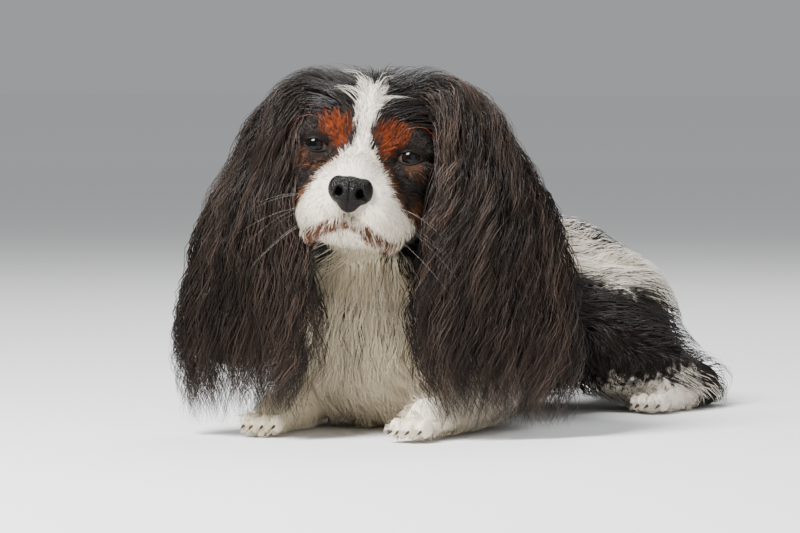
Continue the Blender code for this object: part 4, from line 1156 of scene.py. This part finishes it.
def ear_coat(side, layer, field):
    """The long wavy hair of an ear, in locks that twist and curl more towards their tips."""
    locks, each, rings, low, high = EAR_LAYERS[layer]
    draw = np.random.default_rng(20 + SIDES[side] + 5 * list(EAR_LAYERS).index(layer))
    owner = np.repeat(np.arange(locks), each)
    lock_root = draw.uniform(low, high, locks)
    lock_end = (lock_root + draw.uniform(2.6, 4.4, locks)).clip(4.4, 9.5)
    lock_end = np.where(lock_root > 4.6, draw.uniform(8.4, 9.6, locks), lock_end)
    long = (layer != "upper") & (draw.random(locks) < 0.25)
    lock_end = np.where(long, draw.uniform(8.8, 9.5, locks), lock_end)
    lock_across = draw.uniform(-1.0, 1.0, locks)
    lock_lift = draw.uniform(0.001, 0.008, locks)
    u = np.linspace(0, 1, rings)[None, :]
    root = (lock_root[owner] + draw.normal(0, 0.22, len(owner))).clip(0.02, 7.0)[:, None]
    end = (lock_end[owner] + draw.normal(0, 0.28, len(owner))).clip(3.0, 9.7)[:, None]
    level = root + (end - root) * u
    width, thickness = sheet_value(level, 1), sheet_value(level, 2)
    narrow = 1 - 0.62 * smooth_step(0, 1, u)
    aside = draw.normal(0, 0.0036, len(owner))[:, None] * narrow
    across = (lock_across[owner][:, None] + aside / width).clip(-1.10, 1.10)
    rise = lock_lift[owner][:, None] * smooth_step(0, 0.35, u) - 0.0015 * (1 - u)
    rise = rise + draw.normal(0, 0.0016, len(owner))[:, None] * narrow * smooth_step(0, 0.2, u)
    if layer == "back":
        edge = np.sqrt(np.maximum(0, 1 - np.minimum(1, across ** 2)))
        rise = -(2 * thickness + EAR_CUP * edge) * edge - 0.4 * rise
    paths = ear_points(side, level, across, rise)
    outs = unit(ear_points(side, level[:, :1], across[:, :1], rise[:, :1] + 0.01)[:, 0] - paths[:, 0])
    outs = outs if layer != "back" else -outs
    paths = waved(paths, outs, owner * each, draw, EAR_WAVE, EAR_WAVE_LENGTH, curl=0.6)
    flat = paths.reshape(-1, 3)
    gap, out = field.at(flat)
    flat = flat + out * np.maximum(0.0012 - gap, 0)[:, None]
    keep_above_floor(flat, FLOOR_CLEARANCE * 1.5)
    paths = flat.reshape(paths.shape)
    shade = np.exp(draw.normal(0, 0.62, locks))[owner][:, None, None].clip(0.3, 3.2)
    bright = np.exp(draw.normal(0, 0.38, len(owner)))[:, None, None]
    colours = np.array(EAR_HAIR)[None] * shade * bright
    widths = draw.uniform(0.00032, 0.00058, len(owner))
    half = 0.5 if layer == "back" else 0.0
    spots = np.stack([half + (across[:, 0] / 1.2 + 1) / 4, level[:, 0] / 10], axis=1)
    made = grow("coat_ear_" + side + "_" + layer, paths, widths, outs, colours, spots, taper=0.45)
    return finish(made, silky("ear_hair", 0.38, 0.22))


def nape_lie(points):
    """The lie of the hair on the back of the head: backwards and down to the neck and the ears."""
    x, y, _ = into(HEAD_FRAME, points).T
    aside = 0.5 * np.sign(x) * smooth_step(0.004, 0.02, np.abs(x))
    down = -0.35 - 0.9 * smooth_step(0.05, 0.09, y)
    return turned(HEAD_FRAME, unit(np.stack([aside, np.full_like(x, 0.6), down], axis=1)))


def tail_lie(points):
    """The lie of the hair on the tail: down from its root, then on towards and past its tip."""
    x, y, _ = points.T
    middle = np.interp(y, [place[1] for place, _ in TAIL], [place[0] for place, _ in TAIL])
    ahead = smooth_step(0.30, 0.37, y)
    aside = 0.7 * np.sign(x - middle) * smooth_step(0.0, 0.008, np.abs(x - middle)) * (1 - 0.7 * ahead)
    down = -0.8 + 0.75 * smooth_step(0.30, 0.35, y)
    return unit(np.stack([aside - 0.55 * ahead, np.ones_like(x), down], axis=1))


def by_place(axis, places, values):
    """A measure of the coat that changes with the place along an axis of the world."""
    return lambda points: np.interp(points[:, "xyz".index(axis)], places, values)


def leg_length(toes):
    """The length of a leg's hair: short on the toes, longer up the leg, shorter again near the floor."""
    def length(points):
        long = np.interp(points[:, 1] - toes, (-0.02, 0.01, 0.05, 0.10), (0.0075, 0.0095, 0.016, 0.030))
        return long * np.interp(points[:, 2], (0.0, 0.012, 0.03), (0.6, 0.9, 1.0))

    return length


# The coat of each stretch of the body. Its wave has a size and a length, and its hairs are laid out on an
# unwrap round an axis through its middle.
PLAIN_COAT = {
    "lie": body_lie, "axis": (0, 1, 0), "droop": 0.0, "half_width": 0.0005, "pull": 0.7, "cling": 0.35,
}
BODY_COATS = {
    "nape": {
        "slot": "coat_black", "hairs": 2200, "locks": 130, "rings": 6, "seed": 30,
        "length": by_place("x", (0,), (0.034,)),
        "lift": by_place("x", (0,), (0.0060,)),
        "lie": nape_lie, "wave": (0.0012, 0.040), "middle": HEAD_PLACE,
    },
    "chest": {
        "slot": "coat_white", "hairs": 4300, "locks": 300, "rings": 6, "seed": 31,
        "length": by_place("z", (0.02, 0.08, 0.16), (0.026, 0.046, 0.040)),
        "lift": by_place("z", (0.02, 0.08, 0.16), (0.0045, 0.0085, 0.0070)),
        "wave": (0.0022, 0.038), "middle": (0.01, -0.03, 0.08), "axis": (0, 0, 1),
        "droop": 0.3, "half_width": 0.00042,
    },
    "back": {
        "slot": "coat_roan", "hairs": 5600, "locks": 420, "rings": 5, "seed": 32,
        "length": by_place("y", (0.0, 0.1, 0.25), (0.034, 0.028, 0.024)),
        "lift": by_place("x", (0,), (0.0040,)),
        "wave": (0.0010, 0.045), "middle": (0, 0.1, 0.06),
    },
    "flanks": {
        "slot": "coat_black", "hairs": 3500, "locks": 260, "rings": 6, "seed": 33,
        "length": by_place("z", (0.0, 0.03, 0.07), (0.022, 0.040, 0.036)),
        "lift": by_place("z", (0.0, 0.03, 0.07), (0.0045, 0.0070, 0.0045)),
        "wave": (0.0022, 0.040), "middle": (0, 0.1, 0.06), "droop": 0.3, "half_width": 0.00055,
    },
    "tail": {
        "slot": "coat_black", "hairs": 2200, "locks": 90, "rings": 7, "seed": 34,
        "length": by_place("y", (0.25, 0.30, 0.37, 0.40), (0.032, 0.060, 0.072, 0.078)),
        "lift": by_place("y", (0.25, 0.30, 0.40), (0.008, 0.012, 0.008)),
        "lie": tail_lie, "wave": (0.0030, 0.045), "middle": (0, 0.33, 0.02), "droop": 0.1, "cling": 0.03,
    },
}
LEG_COAT = {
    "locks": 170, "rings": 5, "lift": by_place("z", (0.0, 0.02, 0.05), (0.0022, 0.0036, 0.0060)),
    "lie": leg_lie, "wave": (0.0010, 0.035), "half_width": 0.00040, "pull": 0.25,
}
LEG_COATS = {
    "foreleg": {**LEG_COAT, "slot": "coat_white", "hairs": 1450, "length": leg_length(-0.115)},
    "hindleg": {**LEG_COAT, "slot": "coat_black", "hairs": 1250, "length": leg_length(0.185)},
}
FIRST_LEG_SEED = 40
LEG_MIDDLE = (0.07, 0, 0.02)


def part_coat(name, samples, field, wanted, coat):
    """One stretch of the body's coat: hairs combed along the lie, drawn into locks and waved."""
    coat = {**PLAIN_COAT, **coat}
    count, axis = coat["hairs"], coat["axis"]
    draw = np.random.default_rng(coat["seed"])
    roots, outs = scatter(samples, wanted, count, draw)
    lengths = coat["length"](roots) * draw.uniform(0.7, 1.25, count)
    lifts = coat["lift"](roots) * draw.uniform(0.5, 1.3, count)
    combing = {"rings": coat["rings"], "droop": coat["droop"], "cling": coat["cling"]}
    paths = combed_hairs(field, roots, coat["lie"], lengths, lifts, draw, **combing)
    paths, owner = clumped(paths, roots, draw, coat["locks"], pull=coat["pull"])
    paths = waved(paths, outs, owner, draw, *coat["wave"])
    keep_above_floor(paths)
    widths = coat["half_width"] * draw.uniform(0.7, 1.2, count)
    spots = round_unwrap(roots, coat["middle"], axis, (0, 0, -1) if axis[2] == 0 else (0, 1, 0))
    made = grow("coat_" + name, paths, widths, outs, drawn_colours(roots, draw), spots)
    return finish(made, silky(name + "_hair", 0.45, 0.4))


def leg_limb(name):
    kind, side = name.split("_")
    paths = (FORELEG[side],) if kind == "foreleg" else (SHANK[side], HIND_FOOT[side])
    return [limb(path) for path in paths] + paw_forms(name)


def body_coats(samples, field):
    """The coat of neck, chest, back, flanks, tail and legs, each where its part of the skin is."""
    middles = samples["middles"]
    x, y, z = middles.T
    head = on_head(middles, 0.001)
    ear = flesh(middles) > 0.0015
    tail_far = forms_distance(middles, [limb(TAIL[1:])], 0.001)
    leg_far = {name: forms_distance(middles, leg_limb(name), 0.001) for name in PAWS}
    on_leg = np.min(list(leg_far.values()), axis=0) < 0.0035
    on_tail = (tail_far < 0.004) & (y > 0.255)
    trunk = ~head & ~ear & ~on_leg & ~on_tail & (z > 0.004)
    front = smooth_step(0.000, -0.030, y)
    breast = front * smooth_step(0.075, 0.055, np.abs(x - 0.01))
    nape = on_head(middles) & (into(HEAD_FRAME, middles)[:, 1] > 0.040)
    wanted = {
        "nape": np.where(nape, 1.0, 0),
        "chest": np.where(trunk, breast, 0),
        "back": np.where(trunk, (1 - front) * smooth_step(0.050, 0.075, z), 0),
        "flanks": np.where(trunk, (1 - front) * smooth_step(0.078, 0.058, z), 0),
        "tail": np.where(on_tail & ~ear, 1.0, 0),
    }
    for name, coat in BODY_COATS.items():
        part_coat(name, samples, field, wanted[name], coat)
    for seed, (name, far) in enumerate(leg_far.items(), start=FIRST_LEG_SEED):
        kind, side = name.split("_")
        paw_far = np.linalg.norm(middles - np.array(PAWS[name][0]), axis=1)
        mine = (on_leg & (far < 0.0045) | (paw_far < PAW_REACH)) & ~head & ~ear & ~on_tail & (z > 0.002)
        middle = (SIDES[side] * LEG_MIDDLE[0], *LEG_MIDDLE[1:])
        coat = {**LEG_COATS[kind], "seed": seed, "middle": middle}
        part_coat(name, samples, field, np.where(mine, 1.0, 0), coat)


def lip_fringe():
    """The hair that hangs over the line of the mouth, stained, and darkened further as painted shade along
    it.
    """
    draw = np.random.default_rng(50)
    path = lip_paths()
    steps = np.concatenate([[0], np.cumsum(np.linalg.norm(np.diff(path, axis=0), axis=1))])
    spots = draw.uniform(0.0, steps[-1], FRINGE_HAIRS)
    roots = np.stack([np.interp(spots, steps, path[:, i]) for i in range(3)], axis=1)
    up = turned(HEAD_FRAME, np.array([[0, 0, 1.0]]))[0]
    roots = roots + up * draw.uniform(0.0008, 0.0065, (FRINGE_HAIRS, 1))
    roots = to_level(roots, flesh, -FACE_COAT_DEPTH)
    outs = slope_of(flesh, roots)
    local = into(HEAD_FRAME, roots)
    across = np.abs(local[:, 0])
    aside = 0.35 * np.sign(local[:, 0]) * smooth_step(0, 0.01, across)
    lie = turned(HEAD_FRAME, np.stack([aside, np.full_like(spots, 0.15), np.full_like(spots, -1)], axis=1))
    lengths = draw.uniform(0.0050, 0.0100, FRINGE_HAIRS) * np.interp(across, (0.0, 0.02), (0.75, 1.15))
    lifts = lengths * draw.uniform(0.10, 0.45, FRINGE_HAIRS)
    paths = short_hairs(roots, outs, lie, lengths, lifts, draw, rings=4, bend=10, wander=0.16)
    widths = draw.uniform(0.00016, 0.00028, FRINGE_HAIRS)
    made = grow("coat_lips", paths, widths, outs, drawn_colours(roots, draw, 0.35), face_unwrap(roots))
    return finish(made, silky("lip_hair", 0.45, 0.4))


def whiskers():
    """Long thin pale whiskers from the pads of the muzzle."""
    draw = np.random.default_rng(60)
    starts, aims, lengths = [], [], []
    for sign in SIDES.values():
        for i in range(8):
            row, place = divmod(i, 3)
            starts.append((sign * (0.021 + 0.002 * place), -0.026 + 0.006 * place, -0.036 - 0.006 * row))
            aims.append((sign * (0.9 + 0.05 * place), 0.05 + 0.13 * place, -0.20 - 0.25 * row))
            lengths.append(draw.uniform(0.026, 0.044))
    aims = turned(HEAD_FRAME, unit(np.array(aims) + draw.normal(0, 0.12, (len(aims), 3))))
    roots = to_level(out_of(HEAD_FRAME, np.array(starts)), flesh, -FACE_COAT_DEPTH - 0.0005)
    outs = slope_of(flesh, roots)
    u = np.linspace(0, 1, 8)[None, :, None]
    reach = np.array(lengths)[:, None, None]
    fall = np.array((0, 0, -0.42))
    paths = roots[:, None] + (aims + 0.3 * outs)[:, None] * reach * u + fall * reach * u ** 2
    colours = np.array([WHISKER_GREY]) * draw.uniform(0.5, 1.3, (len(roots), 1, 1))
    thin = np.full(len(roots), WHISKER_HALF_WIDTH)
    made = grow("whiskers", paths, thin, outs, colours, face_unwrap(roots), taper=0.8, belly=0)
    return finish(made, silky("whisker_hair", 0.35, 0.5))


# Eyes, nose and claws
def make_eye(side):
    """An eyeball with a clear bulge, a dark brown iris and a round pupil."""
    centre = Vector(EYE_PLACES[side])
    look = Matrix.Rotation(SIDES[side] * math.radians(7), 4, "Z") @ Matrix.Rotation(math.radians(90), 4, "X")
    eye = add_sphere(Matrix.Identity(4), 64, 48)
    points = points_of(eye)
    angle = np.degrees(np.arccos(np.clip(points[:, 2], -1, 1)))
    bulge = 1 + 0.055 * smooth_step(36, 10, angle)
    iris = smooth_step(37, 33, angle)[:, None]
    pupil = smooth_step(24, 20, angle)[:, None]
    rays = 0.25 * np.sin(np.arctan2(points[:, 1], points[:, 0]) * 23)[:, None]
    inner = np.array(IRIS_BROWN) * (1 + rays) * (1 + 0.8 * smooth_step(30, 20, angle)[:, None])
    colours = np.array(EYE_WHITE) * (1 - iris) + inner * iris
    rim = smooth_step(4, 0, np.abs(angle - 35))[:, None]
    colours = colours * (1 - 0.85 * rim)
    colours = colours * (1 - pupil) + np.array(PUPIL_BLACK) * pupil
    set_points(eye, points * (bulge * EYE_RADIUS)[:, None])
    eye.data.transform(HEAD_FRAME @ Matrix.Translation(centre) @ look)
    eye.name = eye.data.name = "eyeball_" + side
    paint(eye, colours)
    eye.data.shade_smooth()
    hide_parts("eye_" + side)
    return finish(eye, wet("wet_eye", 0.05, 0.18))


def lid_rims(side):
    """The dark edge of the lids and the wet line along the lower one, painted pale grey as a glint on the
    wet rim.
    """
    centre = np.array(EYE_PLACES[side])
    arms = []
    for turn in np.linspace(0, 2 * math.pi, 61)[:-1]:
        low, high = 0.001, 0.014
        aim = np.array((math.cos(turn), 0, math.sin(turn) * 0.6))
        for _ in range(24):
            middle = (low + high) / 2
            spread = almond(aim[None] * middle, side)[0]
            low, high = (middle, high) if spread < 1.0 else (low, middle)
        arms.append(aim * low)
    arms = np.array(arms)
    made = []
    for name, (radius, share, scale, closed) in LID_RODS.items():
        path = arms[share] * scale
        depth = np.sqrt((EYE_RADIUS + 0.00055) ** 2 - (path ** 2).sum(axis=1))
        path = out_of(HEAD_FRAME, centre + path - np.array((0, 1, 0)) * depth[:, None])
        made.append(tube(name + side, path, radius, closed))
    finish(made[0], wet("lid_skin", 0.50, 0.15, LID_BLACK))
    finish(made[1], wet("tear_film_glint", 0.25, 0.4, TEAR_GLINT_GREY))


def tube(name, path, radius, closed):
    """A round rod along a path, closed on itself or with round ends."""
    outline = bpy.data.curves.new(name, "CURVE")
    outline.dimensions = "3D"
    outline.bevel_depth = radius
    outline.bevel_resolution = 2
    outline.use_fill_caps = not closed
    line = outline.splines.new("POLY")
    line.points.add(len(path) - 1)
    for i, (point, place) in enumerate(zip(line.points, path)):
        point.co = (*place, 1)
        point.radius = 1.0 if closed else math.sin(math.pi * (i + 0.6) / (len(path) + 0.2)) ** 0.5
    line.use_cyclic_u = closed
    choose([placed(name, outline)])
    bpy.ops.object.convert(target="MESH")
    made = bpy.context.object
    made.data.shade_smooth()
    return made


def nose_gap(points):
    forms = [ball(centre, radii, HEAD_FRAME) for centre, radii in NOSE_FORMS]
    return forms_distance(points, forms, NOSE_BLEND)


def make_nose():
    """The nose's leather: a rounded pad with comma-shaped nostrils and a groove down its middle."""
    pieces = [add_form(ball(centre, radii, HEAD_FRAME))[0] for centre, radii in NOSE_FORMS]
    nose = joined(pieces, "nose_leather")
    apply_modifier(nose, "REMESH", mode="VOXEL", voxel_size=0.0006)
    apply_modifier(nose, "SMOOTH", iterations=3)
    points = to_level(points_of(nose), nose_gap)
    local = into(HEAD_FRAME, points)
    x, y, z = local.T
    ahead = smooth_step(-0.030, -0.036, y)
    side = np.abs(x)
    hole = np.exp(-(((side - NOSTRIL[0]) / 0.0021) ** 2 + ((z - NOSTRIL[1]) / 0.0028) ** 2) ** 1.5)
    run = np.array(NOSTRIL_SLIT) - np.array(NOSTRIL)
    share = np.clip(((side - NOSTRIL[0]) * run[0] + (z - NOSTRIL[1]) * run[1]) / (run @ run), 0, 1.4)
    slit_far = np.hypot(side - NOSTRIL[0] - share * run[0], z - NOSTRIL[1] - share * run[1])
    slit = np.exp(-((slit_far / 0.0013) ** 2)) * 0.9
    groove = np.exp(-((x / 0.0007) ** 2)) * smooth_step(-0.020, -0.024, z)
    wing = np.exp(-(((side - NOSTRIL[0]) / 0.0042) ** 2 + ((z - NOSTRIL[1] - 0.0006) / 0.0048) ** 2))
    depth = ahead * (0.0058 * hole + 0.0030 * slit + 0.0010 * groove) - 0.0006 * ahead * wing
    local[:, 1] = y + depth
    set_points(nose, out_of(HEAD_FRAME, local))
    nose.data.shade_smooth()
    # The nostrils and their slits are painted darker, as painted shade in their hollows
    dark = np.clip(hole + slit, 0, 1)[:, None] * ahead[:, None]
    paint(nose, np.array(NOSE_COLOUR) * (1 - 0.9 * dark))
    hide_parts("nose")
    return finish(nose, pebbled())


def make_claws():
    """Short curved dark claws at the ends of the toes."""
    claws = []
    for name in PAWS:
        paw = paw_frame(name)
        for toe in PAW_TOES:
            claw = add_sphere(Matrix.Identity(4), 12, 10)
            points = points_of(claw)
            forward = (1 - points[:, 1]) / 2
            points = points * (1 - 0.75 * forward[:, None] * (1, 0, 1)) * (0.0012, 0.0045, 0.0016)
            points[:, 2] -= 0.0022 * forward ** 2
            set_points(claw, points)
            claw.data.transform(paw @ Matrix.Translation((toe[0], toe[1] - 0.0110, toe[2] - 0.0015)))
            claws.append(claw)
    made = joined(claws, "claws")
    points = points_of(made)
    keep_above_floor(points)
    set_points(made, points)
    made.data.shade_smooth()
    return finish(made, wet("claw_horn", 0.35, 0.5, CLAW_BROWN))


# Materials
MATERIALS = {}
RELIEF_HEIGHT = 0.0006


def new_material(name):
    material = bpy.data.materials.new(name)
    material.use_nodes = True
    return material, material.node_tree, material.node_tree.nodes["Principled BSDF"]


def link(tree, start, end):
    tree.links.new(start, end)


def polish(shader, roughness, gloss):
    shader.inputs["Roughness"].default_value = roughness
    shader.inputs["Specular IOR Level"].default_value = gloss


def roughen(tree, shader, height, strength, invert=False):
    """Raises fine relief on a surface by the height of a pattern."""
    bump = tree.nodes.new("ShaderNodeBump")
    bump.invert = invert
    bump.inputs["Strength"].default_value = strength
    bump.inputs["Distance"].default_value = RELIEF_HEIGHT
    link(tree, height, bump.inputs["Height"])
    link(tree, bump.outputs["Normal"], shader.inputs["Normal"])


def colour_of(tree, name="coat_colour"):
    node = tree.nodes.new("ShaderNodeAttribute")
    node.attribute_name = name
    return node.outputs["Color"]


def object_noise(tree, scale, detail=3.0):
    place = tree.nodes.new("ShaderNodeTexCoord")
    noise = tree.nodes.new("ShaderNodeTexNoise")
    noise.inputs["Scale"].default_value = scale
    noise.inputs["Detail"].default_value = detail
    link(tree, place.outputs["Object"], noise.inputs["Vector"])
    return noise.outputs["Fac"]


def silky(name, roughness, gloss):
    """Hair: its own colour, a little varied along the coat, with a soft gloss."""
    if name in MATERIALS:
        return MATERIALS[name]
    material, tree, shader = new_material(name)
    vary = tree.nodes.new("ShaderNodeMapRange")
    vary.inputs["To Min"].default_value = 0.78
    vary.inputs["To Max"].default_value = 1.22
    link(tree, object_noise(tree, 160), vary.inputs["Value"])
    tint = tree.nodes.new("ShaderNodeVectorMath")
    tint.operation = "SCALE"
    link(tree, colour_of(tree), tint.inputs[0])
    link(tree, vary.outputs["Result"], tint.inputs["Scale"])
    link(tree, tint.outputs["Vector"], shader.inputs["Base Color"])
    polish(shader, roughness, gloss)
    MATERIALS[name] = material
    return material


def skin_finish():
    """Skin under the coat: the coat's own markings, with fine streaks like close hair."""
    material, tree, shader = new_material("skin_under_coat")
    link(tree, colour_of(tree), shader.inputs["Base Color"])
    roughen(tree, shader, object_noise(tree, 900), 0.4)
    polish(shader, 0.85, 0.08)
    return material


def wet(name, roughness, gloss, colour=None):
    """A wet or horny smooth surface, in one colour or in its own painted ones."""
    if name in MATERIALS:
        return MATERIALS[name]
    material, tree, shader = new_material(name)
    vary = tree.nodes.new("ShaderNodeMix")
    vary.data_type = "RGBA"
    vary.blend_type = "MULTIPLY"
    vary.inputs["Factor"].default_value = 0.25
    if colour is None:
        link(tree, colour_of(tree), vary.inputs["A"])
    else:
        vary.inputs["A"].default_value = (*colour, 1)
    link(tree, object_noise(tree, 1200), vary.inputs["B"])
    link(tree, vary.outputs["Result"], shader.inputs["Base Color"])
    polish(shader, roughness, gloss)
    MATERIALS[name] = material
    return material


def pebbled():
    """The nose's leather: black, damp and finely pebbled."""
    material, tree, shader = new_material("pebbled_leather")
    link(tree, colour_of(tree), shader.inputs["Base Color"])
    place = tree.nodes.new("ShaderNodeTexCoord")
    cells = tree.nodes.new("ShaderNodeTexVoronoi")
    cells.inputs["Scale"].default_value = 750
    link(tree, place.outputs["Object"], cells.inputs["Vector"])
    roughen(tree, shader, cells.outputs["Distance"], 1.0, invert=True)
    polish(shader, 0.36, 0.16)
    return material


def finish(piece, material):
    """Gives a piece its material and its body."""
    piece.data.materials.clear()
    piece.data.materials.append(material)
    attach(piece, "root")
    return piece


# Studio
def make_studio():
    """A plain pale floor, painted paler further out as painted light so that it meets the sky, and soft
    light from the upper left, with a weaker fill.
    """
    bpy.ops.mesh.primitive_plane_add(size=FLOOR_SIZE, location=(0, 0, -FLOOR_GAP))
    floor = bpy.context.object
    floor.name = "floor"
    material, tree, shader = new_material("pale_floor")
    place = tree.nodes.new("ShaderNodeTexCoord")
    reach = tree.nodes.new("ShaderNodeVectorMath")
    reach.operation = "LENGTH"
    link(tree, place.outputs["Object"], reach.inputs[0])
    # The floor is painted paler with distance, painted light that evens it with the sky far off
    pale = tree.nodes.new("ShaderNodeMapRange")
    for socket, value in FLOOR_PALENESS.items():
        pale.inputs[socket].default_value = value
    link(tree, reach.outputs["Value"], pale.inputs["Value"])
    link(tree, pale.outputs["Result"], shader.inputs["Base Color"])
    polish(shader, 1.0, 0.0)
    floor.data.materials.append(material)
    world = bpy.data.worlds.new("studio")
    world.use_nodes = True
    sky = world.node_tree.nodes["Background"]
    sky.inputs["Color"].default_value = SKY_COLOUR
    sky.inputs["Strength"].default_value = SKY_STRENGTH
    bpy.context.scene.world = world
    for name, turn, rise, far, size, power in LIGHTS:
        data = bpy.data.lights.new(name, "AREA")
        data.size = size
        data.energy = power
        light = placed(name, data)
        side = CAMERA_SIDE + math.radians(turn)
        high = math.radians(rise)
        arm = Vector((math.sin(side) * math.cos(high), -math.cos(side) * math.cos(high), math.sin(high)))
        light.location = LIGHTS_AIM + arm * far
        light.rotation_euler = arm.to_track_quat("Z", "Y").to_euler()


def make_all():
    place_camera()
    make_studio()
    field = Field(flesh, frame["nodes"])
    dome = Field(head_dome, ("head", "ear_left", "ear_right"))
    skin = make_skin()
    paint(skin, mixed_colour(points_of(skin)))
    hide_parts(*[name for name in frame["nodes"] if not name.startswith(("eye", "nose"))])
    finish(skin, skin_finish())
    samples = skin_samples(skin)
    face_coat(samples)
    crown_coat(samples, dome)
    lip_fringe()
    for side in SIDES:
        make_eye(side)
        lid_rims(side)
        for layer in EAR_LAYERS:
            ear_coat(side, layer, field)
    body_coats(samples, field)
    whiskers()
    make_nose()
    make_claws()


make_all()
